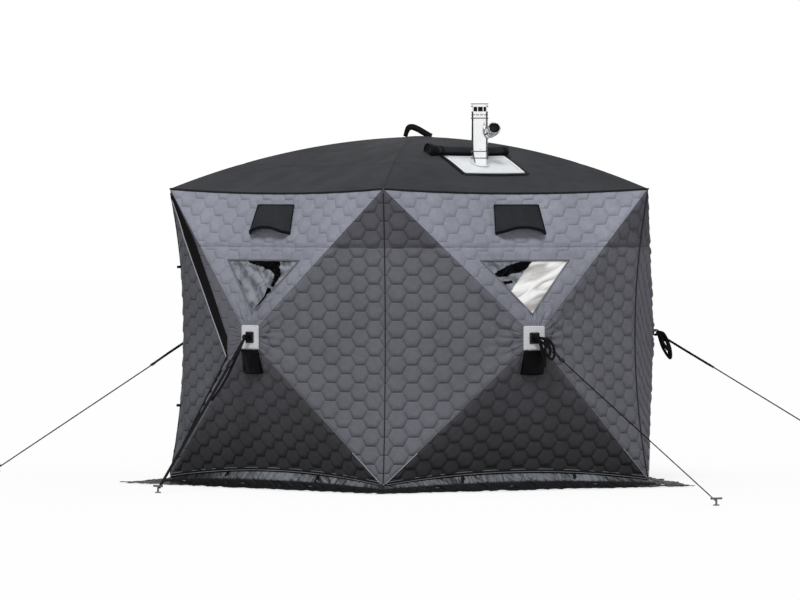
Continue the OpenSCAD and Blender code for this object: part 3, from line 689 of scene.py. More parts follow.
def rowTree():
    # a small solid repeated along every line of a mesh, turned to follow it
    tree, given = startTree("sewnRow", ("Spacing", "Length", "Width", "Height"), "Thread")
    line = put(tree, "GeometryNodeMeshToCurve", {"Mesh": given["Geometry"]})
    dots = put(tree, "GeometryNodeCurveToPoints", {"Curve": line.outputs[0], "Length": given["Spacing"]},
               mode="LENGTH")
    size = put(tree, "ShaderNodeCombineXYZ", {0: given["Length"], 1: given["Width"], 2: given["Height"]})
    bead = put(tree, "GeometryNodeMeshCylinder", {"Vertices": 6, "Radius": 0.5, "Depth": 1.0},
               fill_type="TRIANGLE_FAN")
    laid = put(tree, "GeometryNodeTransform", {"Geometry": bead.outputs["Mesh"],
               "Rotation": (0.0, math.pi / 2, 0.0)})
    along = put(tree, "FunctionNodeAlignRotationToVector", {"Vector": dots.outputs["Tangent"]}, axis="X")
    many = put(tree, "GeometryNodeInstanceOnPoints", {"Points": dots.outputs["Points"],
               "Instance": laid.outputs[0], "Rotation": along.outputs[0], "Scale": size.outputs[0]})
    return endTree(tree, many.outputs[0], given["Thread"])


hexQuilt = quiltTree()
sewnRow = rowTree()


def applyTree(piece, tree, values):
    modifier = piece.modifiers.new(tree.name, "NODES")
    modifier.node_group = tree
    for item in tree.interface.items_tree:
        if item.in_out == "INPUT" and item.name in values:
            modifier[item.identifier] = values[item.name]
    graph = bpy.context.evaluated_depsgraph_get()
    made = bpy.data.meshes.new_from_object(piece.evaluated_get(graph), preserve_all_data_layers=True,
                                           depsgraph=graph)
    piece.modifiers.clear()
    old = piece.data
    made.name = old.name + "_made"
    piece.data = made
    bpy.data.meshes.remove(old)


def sewRow(name, lines, cloth, spacing, length, width, height=None):
    points, edges = [], []
    for line in lines:
        start = len(points)
        points += np.asarray(line, float).tolist()
        edges += [(start + i, start + i + 1) for i in range(len(line) - 1)]
    mesh = bpy.data.meshes.new(name)
    mesh.from_pydata(points, edges, [])
    piece = addObject(name, mesh)
    applyTree(piece, sewnRow, {"Spacing": spacing, "Length": length, "Width": width,
                               "Height": height or width, "Thread": cloths[cloth]})
    if not piece.data.uv_layers:
        piece.data.uv_layers.new(name="cloth")
    piece.data.uv_layers[0].name = "cloth"
    place(piece)


def turned(part, wall):
    return turnTo(part[0], wall), part[1], part[2]


def thickSheet(points, faces, inner, uv):
    closed, both = rim(points, faces, inner)
    return closed, both, np.tile(uv, (2, 1))


def laySheet(name, part, cloth, nodes=(), layers=None):
    points, faces, uv = part
    piece = makePiece(name, points, faces, uv, cloths[cloth], layers)
    place(piece, nodes)


def flatUp(path, across, closed=False):
    # the up side of a strap whose width lies along a given line
    return np.cross(vec(*across), tangents(path, closed))


# wall panels

def cornerAt(side, z):
    return vec(side * halfW, -apothem, z)


def eaveAt(u):
    line = mix(cornerAt(-1, topZ), cornerAt(1, topZ), u)
    return line + bow(u)[..., None] * vec(0, hut["eaveBow"], -hut["eaveDip"])


def hemAt(u):
    return mix(cornerAt(-1, lowZ), cornerAt(1, lowZ), u) + bow(u)[..., None] * vec(0, 0, hut["hemRise"])


def seamAt(side, u):
    line = mix(cornerAt(side, lowZ), cornerAt(side, topZ), u)
    return line + bow(u)[..., None] * hut["seamBow"] * vec(-side * sin36, cos36, 0)


def patchAt(x, z):
    return vec(x * hut["patch"], hubY, hubZ + z * hut["patch"])


def panelSurface(kind):
    # from one side of the hub patch to the panel's far edge
    near, far = dict(
        top=((-1, 1, 1, 1), eaveAt),
        right=((1, 1, 1, -1), lambda u: seamAt(1, 1 - u)),
        left=((-1, -1, -1, 1), lambda u: seamAt(-1, u)),
        bottom=((1, -1, -1, -1), lambda u: hemAt(1 - u)))[kind]
    start, end = patchAt(*near[:2]), patchAt(*near[2:])
    return lambda u, v: mix(mix(start, end, u), far(u), v)


def clothLay(kind, points):
    # where each point lies on the flat cloth, so the hexagons keep their size
    x, y, z = points[:, 0], points[:, 1] - hubY, points[:, 2] - hubZ
    if kind in ("top", "bottom"):
        return pts(x, np.sign(z) * np.hypot(y, z), 0)
    return pts(np.sign(x) * np.hypot(x, y), z, 0)


def topFace(x, z, out=0.0):
    # the point of an upper wall panel at a given x and height, moved out of the cloth
    x, z = np.broadcast_arrays(np.asarray(x, float), np.asarray(z, float))
    patch, base = hut["patch"], hubZ + hut["patch"]
    v = (z - base) / (topZ - base)
    for _ in range(4):
        u = np.clip((x / (patch + (halfW - patch) * v) + 1) / 2, 0, 1)
        v = (z - base) / (topZ - hut["eaveDip"] * bow(u) - base)
    y = hubY * (1 - v) + (-apothem + hut["eaveBow"] * bow(u)) * v
    lean = math.atan2(hut["hubOut"], topZ - base)
    return pts(x, y - out * math.cos(lean), z + out * math.sin(lean))


def lowFace(x, z, out=0.0):
    # the same for a lower wall panel, whose hem rises by about 40 mm near its middle
    x, z = np.broadcast_arrays(np.asarray(x, float), np.asarray(z, float))
    base = hubZ - hut["patch"]
    v = (base - z) / (base - lowZ - 0.04)
    lean = math.atan2(hut["hubOut"], base - lowZ)
    return pts(x, hubY * (1 - v) - apothem * v - out * math.cos(lean), z - out * math.sin(lean))


window = dict(halfW=0.30, topZ=1.36, tipZ=1.042)
windowSlant = unit(np.array([window["topZ"] - window["tipZ"], window["halfW"]]))


def windowGap(points):
    # distance outside the window's three sides; negative inside
    x, z = np.abs(points[:, 0]), points[:, 2]
    return np.maximum(z - window["topZ"], x * windowSlant[0] - (z - window["tipZ"]) * windowSlant[1])


def cutWindow(points, faces):
    # faces inside the window go, and the points along the cut move onto its edge
    gap = windowGap(points)
    kept = [face for face, most in zip(faces, gap[np.array(faces)].max(1)) if most > 0.0015]
    used = np.zeros(len(points), bool)
    used[np.unique(np.array(kept))] = True
    hit = np.nonzero(used & (gap < 0))[0]
    x, z, off = points[hit, 0], points[hit, 2], gap[hit]
    high = z - window["topZ"] >= off - 1e-9
    newX = np.where(high, x, x - off * windowSlant[0] * np.where(x >= 0, 1, -1))
    newZ = np.where(high, z - off, z + off * windowSlant[1])
    moved = points.copy()
    moved[hit] += topFace(newX, newZ) - topFace(x, z)
    return moved, kept


# sewnOn: half width, middle height and half height of the vent or pocket sewn flat on a panel
panelSpec = dict(cell=0.0092, shoulder=0.27, seamZ=1.441, gather=0.0075, sag=0.0055, pucker=0.0045,
                 puff=dict(light=0.0066, mid=0.0098, door=0.0100, dark=0.0095),
                 sewnOn=dict(top=(0.178, 1.600, 0.098), bottom=(0.080, 0.757, 0.078)))


def seamMarks(border, across):
    # where the cloth may puff and where it is sewn: round its border and along the cross seam
    ease, seam = smooth(border / 0.03), bell(border, 0.005) * 0.7
    if across is None:
        return ease, seam
    return ease * smooth(across / 0.022), np.maximum(seam, bell(across, 0.006))


def shapePanel(kind, seed):
    surface = panelSurface(kind)
    points, params, faces = weave(surface, panelSpec["cell"])
    if kind == "top":
        points, faces = cutWindow(points, faces)
    lay, border = clothLay(kind, points), params[:, 2]
    across = None if kind == "bottom" else np.abs(points[:, 2] - panelSpec["seamZ"])
    ease, seam = seamMarks(border, across)
    offset = np.zeros(len(points))
    if across is not None:
        pucker = np.sin(lay[:, 0] * 165 + 4 * ripple(points, 9, seed))
        pucker *= ripple(points * vec(1, 1, 0.2), 7, seed + 1) * bell(across, 0.030) * smooth(across / 0.012)
        offset += panelSpec["pucker"] * pucker - 0.003 * bell(across, 0.010)
    if kind == "top":
        ease = ease * smooth((windowGap(points) - 0.012) / 0.03)
    # folds drawn in towards the hub
    reach, angle = np.hypot(lay[:, 0], lay[:, 1]), np.arctan2(lay[:, 1], lay[:, 0])
    fold = np.sin(angle * 22 + 3 * ripple(points, 6, seed)) * np.exp(-np.maximum(reach - 0.09, 0) / 0.13)
    offset += panelSpec["gather"] * fold * smooth(border / 0.05)
    offset += panelSpec["sag"] * ripple(points, 3.1, seed) * smooth(border / 0.12)
    if kind in panelSpec["sewnOn"]:
        half, mid, tall = panelSpec["sewnOn"][kind]
        away = np.maximum(np.abs(points[:, 0]) - half, np.abs(points[:, 2] - mid) - tall)
        ease, offset = ease * smooth(away / 0.02), offset * smooth(away / 0.05)
    at = lambda u, v: surface(np.array([u]), np.array([v]))[0]
    out = unit(np.cross(at(0.6, 0.5) - at(0.4, 0.5), at(0.5, 0.6) - at(0.5, 0.4)))
    return points + offset[:, None] * out, faces, lay, ease, seam


def quiltPiece(node, shapes, wall, tone, body="shelter"):
    points, faces, lay = joinParts([shape[:3] for shape in shapes])
    ease, seam = (np.concatenate([shape[k] for shape in shapes]) for k in (3, 4))
    piece = makePiece("quilt_" + node, turnTo(points, wall), faces, lay[:, :2], cloths[tone],
                      dict(lay=lay, ease=ease, seam=seam))
    applyTree(piece, hexQuilt, {"Pitch": hut["pitch"], "Puff": panelSpec["puff"][tone],
                                "Shoulder": panelSpec["shoulder"], "Cloth": cloths[tone]})
    place(piece, [node], body)


def makeWalls():
    for wall, name in enumerate(wallNames):
        for kind, tone in (("top", "light"), ("bottom", "dark")):
            shape = shapePanel(kind, wall + 0.37)
            node = stems[wall] + "_" + kind + "_panel"
            quiltPiece(node, [shape], wall, tone)
        sides = ["right"] if name == "door" else ["right", "left"]
        shapes = [shapePanel(kind, wall + 5.1 + i) for i, kind in enumerate(sides)]
        node = "door_wall_right_panel" if name == "door" else name + "_side_panels"
        quiltPiece(node, shapes, wall, "mid")


# linings, roof, windows

def inward(points, depth):
    return points + (vec(0, 0, hubZ) - points) * depth / apothem


def makeLinings():
    spec = dict(cell=0.03, depth=0.007, flat=(2.0, 1.9))
    for wall, name in enumerate(wallNames):
        parts = []
        for kind in ["top", "bottom", "right"] + ([] if name == "door" else ["left"]):
            points, params, faces = weave(panelSurface(kind), spec["cell"])
            if kind == "top":
                points, faces = cutWindow(points, faces)
            parts.append((inward(points, spec["depth"]), reverse(faces), clothLay(kind, points)[:, :2]))
        laySheet("lining_" + name, turned(joinParts(parts), wall), "lining")


def ribAt(side, v):
    cap = vec(side * hut["capR"] * sin36, -hut["capR"] * cos36, hut["apexZ"])
    return mix(cap, cornerAt(side, topZ), v) + bow(v)[..., None] * vec(0, 0, hut["poleBow"])


def roofAt(u, v):
    dip = vec(0, hut["eaveBow"], -hut["eaveDip"])
    return mix(ribAt(-1, v), ribAt(1, v), u) + (bow(u) * v)[..., None] * dip


def roofFace(x, y, out=0.0):
    # the roof panel's point at a given place in plan, moved up off the cloth
    x, y = np.broadcast_arrays(np.asarray(x, float), np.asarray(y, float))
    near, lean = hut["capR"] * cos36, 0.20
    v = (-y - near) / (apothem - near)
    for _ in range(6):
        half = hut["capR"] * sin36 * (1 - v) + halfW * v
        u = np.clip((x / half + 1) / 2, 0, 1)
        v = (-y + bow(u) * v * hut["eaveBow"] - near) / (apothem - near)
    return roofAt(u, v) + out * vec(0, -math.sin(lean), math.cos(lean))


jack = dict(halfW=0.2165, halfL=0.145, mid=-0.835, lap=0.03, flueX=-0.032, flueR=0.049)
roofUp = (0, -0.2, 0.98)


def underJack(points, lap):
    x, y = np.abs(points[:, 0]), np.abs(points[:, 1] - jack["mid"])
    return (x < jack["halfW"] - lap) & (y < jack["halfL"] - lap)


def makeRoof():
    spec = dict(cell=0.017, seamV=0.69, sag=0.006, slack=0.0028, crease=0.005, flat=(1.82, 1.26))
    lining = dict(cell=0.045, depth=0.010, flat=(3.0, 2.95))
    surface = lambda u, v: roofAt(1 - u, v)
    for wall, name in enumerate(wallNames):
        points, params, faces = weave(surface, spec["cell"])
        if wall == 0:
            inside = underJack(points, jack["lap"])
            faces = [f for f in faces if not inside[list(f)].all()]
        border = params[:, 2]
        offset = spec["sag"] * ripple(points, 2.6, wall + 0.2)
        offset += spec["slack"] * ripple(points * vec(0.6, 1.6, 1), 9, wall + 0.7)
        offset *= smooth(border / 0.08)
        # pulls that run in from the two lower corners
        for side in (-1, 1):
            away = points - cornerAt(side, topZ)
            reach, angle = np.linalg.norm(away, axis=1), np.arctan2(away[:, 1], -side * away[:, 0])
            offset += spec["crease"] * np.sin(angle * 34) * np.exp(-reach / 0.28) * smooth(border / 0.03)
        across = np.abs(params[:, 1] - spec["seamV"]) * 1.2
        offset -= 0.002 * bell(across, 0.012)
        seam = np.maximum(bell(border, 0.010) * 0.8, 0.9 * bell(across, 0.008))
        points = points + offset[:, None] * vec(*roofUp)
        part = turned((points, faces, points[:, :2] * np.array([1, 1.03])), wall)
        laySheet("cloth_" + name + "_roof", part, "roof",
                 [name + "_roof_panel"], dict(seam=seam))
    # one lining for the whole roof, a little under the panels
    parts = []
    for wall in range(5):
        points, params, faces = weave(surface, lining["cell"])
        if wall == 0:
            inside = underJack(points, 0.0)
            faces = [f for f in faces if not inside[list(f)].any()]
        parts.append((turnTo(inward(points, lining["depth"]), wall), reverse(faces), points[:, :2]))
    laySheet("lining_roof", joinParts(parts), "lining")


def makeCap():
    spec = dict(rise=0.006, rings=7, spokes=40, over=1.02, wave=0.0012, thick=0.005, flat=(0.2, 0.2))
    rings, n = spec["rings"], spec["spokes"]
    j, k = np.tile(np.arange(n), rings), np.repeat(np.arange(1, rings + 1), n) / rings
    a = 2 * math.pi * j / n - math.pi / 2
    local = (a + math.pi / 2) % (2 * fifth) - fifth
    r = hut["capR"] * cos36 / np.cos(local) * k * spec["over"]
    z = hut["apexZ"] + spec["rise"] * (1 - k ** 2) + spec["wave"] * np.sin(j * 1.7)
    points = np.concatenate([[vec(0, 0, hut["apexZ"] + spec["rise"])], pts(r * np.cos(a), r * np.sin(a), z)])
    faces = [(0, 1 + i, 1 + (i + 1) % n) for i in range(n)]
    for b in range(1, 1 + (rings - 1) * n, n):
        faces += [(b + i, b + n + i, b + n + (i + 1) % n, b + (i + 1) % n) for i in range(n)]
    part = thickSheet(points, faces, points - vec(0, 0, spec["thick"]), points[:, :2])
    laySheet("roof_cap_cloth", part, "roof",
             ["roof_cap"])


def nearLine(x, z, path):
    # how far each point lies inside a line of varying width, given as x, z, half width
    best = np.full(len(x), -1.0)
    for (ax, az, ar), (bx, bz, br) in zip(path, path[1:]):
        dx, dz = bx - ax, bz - az
        t = np.clip(((x - ax) * dx + (z - az) * dz) / max(dx ** 2 + dz ** 2, 1e-9), 0, 1)
        best = np.maximum(best, ar + (br - ar) * t - np.hypot(x - ax - dx * t, z - az - dz * t))
    return best


def makeWindows():
    spec = dict(columns=72, rows=52, lap=0.010, crumple=0.008, tape=0.009, fold=0.06, lit=0.8,
                flat=(0.64, 0.37), creased=("front", "right", "back"))
    # where the creased film is still clear: beside the lit fold, or round one side
    streak = [(-0.23, 1.268, 0.010), (-0.13, 1.295, 0.026), (-0.05, 1.318, 0.030), (0.03, 1.345, 0.022)]
    dash = [(-0.155, 1.228, 0.008), (-0.105, 1.236, 0.010)]
    arc = [(-0.13, 1.352, 0.008), (0.0, 1.345, 0.024), (0.10, 1.325, 0.036), (0.135, 1.265, 0.026),
           (0.115, 1.218, 0.014)]
    drops = [(0.088, 1.180, 0.018), (0.078, 1.165, 0.012), (0.066, 1.140, 0.004), (0.050, 1.118, 0.008),
             (0.030, 1.088, 0.008), (0.016, 1.066, 0.004)]
    wide, high, low, lap = window["halfW"], window["topZ"], window["tipZ"], spec["lap"]
    u, v = uvGrid(spec["columns"], spec["rows"])
    x = (2 * u - 1) * (wide + lap * 1.6) * (0.03 + 0.97 * v)
    z = low - lap * 1.5 + (high - low + lap * 2.5) * v
    faces = gridFaces(spec["columns"], spec["rows"])
    # a fold that gets a painted reflection of the light, to one side of a slanting line
    lit = x - spec["fold"] + (high - z) > 0
    beside, around = (0.36 - 0.72 * smooth(0.5 + np.maximum(nearLine(x, z, a), nearLine(x, z, b)) / 0.016)
                     for a, b in ((streak, dash), (arc, drops)))
    ends = np.array([(-wide, high), (wide, high), (0.0, low), (-wide, high)])
    lines = []
    for wall, name in enumerate(wallNames):
        folded = name in spec["creased"]
        points = topFace(x, z, -0.0045)
        wave = 0.6 * ripple(points, 9, wall + 3.3) + 0.4 * ripple(points, 21, wall + 1.1)
        points[:, 1] += spec["crumple"] * wave * smooth(-windowGap(points) / 0.05)
        fog = np.where(lit, spec["lit"], beside) if folded else around
        # the painted reflection goes only on the creased windows' fold
        layers = dict(fog=fog, paintedGleam=lit * float(folded))
        part = turned((points, faces, points[:, [0, 2]]), wall)
        laySheet("window_film_" + name, part, "film",
                 ["window_panes"], layers)
        # tape sewn over the three edges, inside and out
        parts, tape = [], strapProfile(spec["tape"], 0.0024)
        for a, b in zip(ends, ends[1:]):
            run = np.linspace(-0.002, np.linalg.norm(b - a) + 0.002, 40)
            edge = (a + run[:, None] * unit(b - a)).T
            for out in (0.0016, -0.0105):
                parts.append(rod(wall, topFace(*edge, out), tape, (0, -0.97, 0.24)))
            lines.append(turnTo(topFace(*edge, 0.0030), wall))
        assemble("window_tape_" + name, parts, "tape")
    sewRow("window_stitching", lines, "dimThread", 0.009, 0.006, 0.0012)


makeWalls()
makeLinings()
makeRoof()
makeCap()
makeWindows()
print("walls, linings, roof and windows made")

# vents, hub patches, pockets

def makeVents():
    spec = dict(topZ=1.687, height=0.168, topW=0.300, lipW=0.342, lipOut=0.066, arch=0.044, thick=0.0035,
                wave=0.0120, columns=36, rows=22, binding=0.0032)
    net = dict(halfW=0.12, low=0.13, tall=0.11, columns=19, rows=9)
    shells, nets, lines, bound = [], [], [], []
    nu = spec["columns"]
    u, v = uvGrid(nu, spec["rows"])
    x = (2 * u - 1) * (spec["topW"] * (1 - v) + spec["lipW"] * v) / 2
    z = spec["topZ"] - v * (spec["height"] - spec["arch"] * bow(u))
    # stiff scoop: flat across the top, bellied towards the lip, sides folded back to the wall
    side = smooth(np.minimum(u, 1 - u) / 0.10)
    out = spec["lipOut"] * v ** 0.8 * (0.35 + 0.65 * bow(u) ** 0.8) * side
    across, up = uvGrid(net["columns"], net["rows"])
    netX, netZ = (2 * across - 1) * net["halfW"], spec["topZ"] - net["low"] + net["tall"] * up
    for wall in range(5):
        points = topFace(x, z, 0.007)
        points[:, 1] -= out + spec["wave"] * ripple(points, 15, wall + 8.0) * v * side
        points[:, 2] -= 0.10 * out
        shell = thickSheet(points, gridFaces(nu, spec["rows"], True), points + vec(0, spec["thick"], 0),
                           np.stack([x, z], -1))
        shells.append(turned(shell, wall))
        # black binding along the lip, made tall so it also stands as painted shade under the scoop; thin
        # binding up both sides and across the top
        lip = points[-nu - 1:] + vec(0, 0.002, -0.003)
        bound.append(rod(wall, lip, strapProfile(0.006, 0.017), (0, -0.2, 1)))
        for edge in (points[::nu + 1], points[nu::nu + 1], points[:nu + 1]):
            bound.append(rod(wall, edge - vec(0, 0.001, 0), ring(spec["binding"], 6), (0, -1, 0.2)))
        # net over the vent hole, behind the scoop
        nets.append((turnTo(topFace(netX, netZ, 0.0035), wall), gridFaces(net["columns"], net["rows"]),
                     np.stack([netX, netZ], -1)))
        edge = topFace(np.linspace(-0.48, 0.48, 30) * spec["topW"], spec["topZ"] - 0.007, 0.0100)
        lines.append(turnTo(edge - vec(0, 0.002, 0), wall))
    assemble("vent_scoops", shells, "vent", ["vent_hoods"])
    assemble("vent_binding", bound, "jet")
    assemble("vent_nets", nets, "net")
    sewRow("vent_stitching", lines, "dimThread", 0.009, 0.006, 0.0014)


def squarePad(half, corner, cells, lift, y, wave):
    # a square pad whose corners are pulled round and whose edges are pressed down
    u, v = uvGrid(cells, cells)
    gx, gz = 2 * u - 1, 2 * v - 1
    drawn = half - corner * 0.42 * smooth((np.abs(gx * gz) - 0.72) / 0.28)
    x, z = gx * drawn, gz * drawn
    pressed = 0.75 * smooth((np.maximum(np.abs(gx), np.abs(gz)) - 0.86) / 0.14)
    points = pts(x, y - lift * (1 - pressed), hubZ + z)
    points[:, 1] -= wave * ripple(points, 42, y)
    return thickSheet(points, gridFaces(cells, cells), pts(x, y + 0.001, hubZ + z), np.stack([x, z], -1))


def makeHubs():
    patchSpec = dict(half=0.0725, corner=0.003, cells=26, lift=0.0035, y=hubY + 0.001, wave=0.0011)
    plateSpec = dict(half=0.034, corner=0.004, cells=12, lift=0.0048, y=hubY - 0.0035, wave=0.0006)
    tabSpec = dict(back=hubY - 0.0035, mid=hubY - 0.0285, radius=0.0105, gap=0.0115, width=0.03,
                   thick=0.0028)
    # webbing folded into a tab that the guy is tied to
    a = np.linspace(math.pi / 2, 3 * math.pi / 2, 15)
    bend = pts(0, tabSpec["mid"] + tabSpec["radius"] * np.cos(a), hubZ + tabSpec["radius"] * np.sin(a))
    path = np.concatenate([[vec(0, tabSpec["back"], hubZ + tabSpec["gap"])], bend,
                           [vec(0, tabSpec["back"], hubZ - tabSpec["gap"])]])
    tab = sweep(path, strapProfile(tabSpec["width"], tabSpec["thick"]), flatUp(path, (1, 0, 0)))
    patch, plate = squarePad(**patchSpec), squarePad(**plateSpec)
    corners = np.array([(-1, -1), (1, -1), (1, 1), (-1, 1), (-1, -1)])
    patches, plates, lines = [], [], []
    for wall in range(5):
        patches.append(turned(patch, wall))
        plates += [turned(plate, wall), turned(tab, wall)]
        for half, y in ((0.0665, hubY - 0.0030), (0.029, hubY - 0.0088)):
            lines.append(turnTo(pts(corners[:, 0] * half, y, hubZ + corners[:, 1] * half), wall))
    assemble("hub_patch_cloth", patches, "patch", ["hub_patches"])
    assemble("hub_webbing", plates, "strap", ["hub_plates"])
    sewRow("hub_stitching", lines, "thread", 0.006, 0.0042, 0.0009)


def makePockets():
    spec = dict(topHalf=0.068, lowHalf=0.074, topZ=0.8265, height=0.140, belly=0.019,
                columns=26, rows=24, hem=0.018)
    bags, lines = [], []
    u, v = uvGrid(spec["columns"], spec["rows"])
    x = (2 * u - 1) * (spec["topHalf"] * (1 - v) + spec["lowHalf"] * v)
    z = spec["topZ"] - v * spec["height"] - 0.006 * bow(u) * v ** 4
    body = bow(u) ** 0.5 * np.clip(v * 9, 0, 1) * (1 - smooth((v - 0.9) / 0.1) * 0.9)
    out = 0.003 + 0.016 * v + spec["belly"] * body * (0.45 + 0.55 * v)
    across = np.linspace(-1, 1, 16) * spec["topHalf"] * 1.02
    for wall in range(5):
        points = lowFace(x, z, 0.002)
        wave = 0.0045 * ripple(points * vec(1, 1, 0.5), 26, wall + 2.0)
        wave += 0.003 * np.sin(x * 62 + 2 * np.sin(z * 30 + wall)) * (1 - v * 0.5)
        points[:, 1] -= out + wave * body
        bag = thickSheet(points, gridFaces(spec["columns"], spec["rows"], True), lowFace(x, z, 0.0015),
                         np.stack([x, z], -1))
        # the bag, and a hem band along its mouth
        mouth = lowFace(across, spec["topZ"] - 0.008, 0.0085)
        bags += [turned(bag, wall), rod(wall, mouth, strapProfile(spec["hem"], 0.003), (0, -0.97, -0.24))]
        lines.append(turnTo(lowFace(across * 0.96, spec["topZ"] - 0.015, 0.0108), wall))
    assemble("rope_bags", bags, "gloss", ["rope_pockets"])
    sewRow("bag_stitching", lines, "dimThread", 0.007, 0.005, 0.0012)


makeVents()
makeHubs()
makePockets()
print("vents, hub patches and pockets made")

# door wall: jamb, surround, flap, storm flap and zip

doorSpec = dict(fold=0.18, reach=0.69, pointZ=0.745, gap=0.006, upZ=1.715, lowZ=0.042, cell=0.0098,
                thick=0.006, tip=0.672)
panelTurn = math.atan2(hut["hubOut"], halfW - hut["patch"])
panelL = math.hypot(hut["hubOut"], halfW - hut["patch"])
doorAlong = vec(math.cos(panelTurn), -math.sin(panelTurn), 0)
doorOut = vec(-math.sin(panelTurn), -math.cos(panelTurn), 0)
wallTall = topZ - lowZ


def doorAt(a, z, out=0.0):
    # on the flat door panel: how far from the corner, how high above the hem, how far out
    a, z, out = (np.asarray(value, float)[..., None] for value in np.broadcast_arrays(a, z, out))
    return cornerAt(-1, lowZ) + a * doorAlong + z * vec(0, 0, 1) + out * doorOut


def ridgeUp(a):
    return wallTall + (hubZ + hut["patch"] - topZ) * a / panelL


def ridgeLow(a):
    return (hubZ - hut["patch"] - lowZ) * a / panelL


def zipUp(a):
    return doorSpec["upZ"] + (doorSpec["pointZ"] - doorSpec["upZ"]) * a / doorSpec["reach"]


def zipLow(a):
    return doorSpec["lowZ"] + (doorSpec["pointZ"] - doorSpec["lowZ"]) * a / doorSpec["reach"]


def fromCorner(points):
    return np.hypot(points[:, 0] + halfW, points[:, 1] + apothem)


def wallAt(a, z, out=0.0):
    # on the flat door panel, or on the jamb that bends back to the corner seam
    fold = doorSpec["fold"]
    a, z, out = np.broadcast_arrays(a, z, out)
    share = np.clip(1 - a / fold, 0, 1)
    low, high = ridgeLow(fold), ridgeUp(fold)
    u = (z - low * (1 - share)) / ((high - low) * (1 - share) + wallTall * share)
    bent = mix(doorAt(fold, low + (high - low) * u), seamAt(-1, u), share) + out[..., None] * doorOut
    return np.where((a < fold)[..., None], bent, doorAt(a, z, out))


def closedShape(surface, seed, full=1.0, banded=False):
    points, params, faces = weave(surface, doorSpec["cell"])
    a, border = fromCorner(points), params[:, 2]
    lay = pts(a - panelL - hut["patch"], points[:, 2] - hubZ, 0)
    ease, seam = seamMarks(border, np.abs(points[:, 2] - panelSpec["seamZ"]))
    ease = ease * full
    if banded:
        # flat under the storm flap
        ease = ease * smooth((zipUp(a) - 0.005 - (points[:, 2] - lowZ)) / 0.03)
    wave = 0.003 * ripple(points, 3.4, seed) * smooth(border / 0.1)
    points = points + wave[:, None] * doorOut
    closed, both, lay = thickSheet(points, faces, points - doorSpec["thick"] * doorOut, lay)
    return (closed, both, lay, np.concatenate([ease, 0 * ease]), np.tile(seam, 2)), clothArea(points, faces)


def makeDoor():
    fold, reach, pointZ, gap = (doorSpec[key] for key in ("fold", "reach", "pointZ", "gap"))
    foldLine = lambda u: doorAt(fold, ridgeLow(fold) + (ridgeUp(fold) - ridgeLow(fold)) * u)
    jamb, area = closedShape(lambda u, v: mix(foldLine(u), seamAt(-1, u), v), 1.0, 1.0, True)
    quiltPiece("door_jamb", [jamb], 4, "door")
    toCorner = lambda a: pointZ + (ridgeLow(panelL) - pointZ) * (a - reach) / (panelL - reach)

    def upSurface(u, v):
        a = panelL + (fold - panelL) * v
        return doorAt(a, np.where(a < reach, zipUp(a), toCorner(a)) * (1 - u) + ridgeUp(a) * u)

    def lowSurface(u, v):
        a = panelL + (fold - panelL) * v
        return doorAt(a, ridgeLow(a) * (1 - u) + np.where(a < reach, zipLow(a), toCorner(a)) * u)

    def flapSurface(u, v):
        a = doorSpec["tip"] + (fold + 0.004 - doorSpec["tip"]) * v
        low = zipLow(a) + gap * 1.6
        return doorAt(a, low * (1 - u) + np.maximum(zipUp(a) - gap * 1.9, low + 0.002) * u)

    one, areaOne = closedShape(upSurface, 2.0, 0.0)
    two, areaTwo = closedShape(lowSurface, 3.0)
    quiltPiece("door_surround", [one, two], 4, "mid")
    flap, area = closedShape(flapSurface, 4.0)
    quiltPiece("door_flap", [flap], 4, "door", "door")


def makeStormFlap():
    # a black band sewn above the zip and on over the jamb, its free edge piped
    spec = dict(columns=120, rows=12, start=0.028, width=0.142, thick=0.0022, piping=0.0040)
    n, m, fold, reach = spec["columns"], spec["rows"], doorSpec["fold"], doorSpec["reach"]
    u, t = uvGrid(n, m)
    a = spec["start"] + (reach - spec["start"]) * u
    width = np.minimum(spec["width"], (ridgeUp(a) - zipUp(a)) * 0.86) * (1 - 0.15 * smooth((u - 0.6) / 0.4))
    lift = 0.0045 + 0.004 * np.sin(math.pi * (1 - t) * 0.6) + 0.0015 * np.sin(u * 19 + 2 * t)
    points, faces = wallAt(a, zipUp(a) + 0.0005 + width * t, lift), gridFaces(n, m)
    band = turned(thickSheet(points, faces, points - spec["thick"] * doorOut, points[:, [0, 2]]), 4)
    laySheet("storm_band", band, "jet",
             ["storm_flap"])
    edge = wallAt(a[:n + 1], zipUp(a[:n + 1]) + 0.0005, 0.0095)
    assemble("storm_piping", [rod(4, edge, ring(spec["piping"], 8), (0, 0, 1))], "piping")
    # zip along the lower edge of the door, teeth on the fixed side
    a = np.linspace(0.04, reach, 70)
    tape = wallAt(a, zipLow(a) - 0.009, 0.0050)
    assemble("zip_tape", [rod(4, tape, strapProfile(0.020, 0.0022), doorOut)], "strap")
    a = a[a > fold]
    teeth = [wallAt(a, zipLow(a) - 0.0012, 0.0032), doorAt(a, zipUp(a) - 0.001, 0.0020)]
    sewRow("zip_teeth", [turnTo(row, 4) for row in teeth], "plastic", 0.0052, 0.003, 0.005,
           0.003)


makeDoor()
makeStormFlap()
print("door made")

# snow skirt

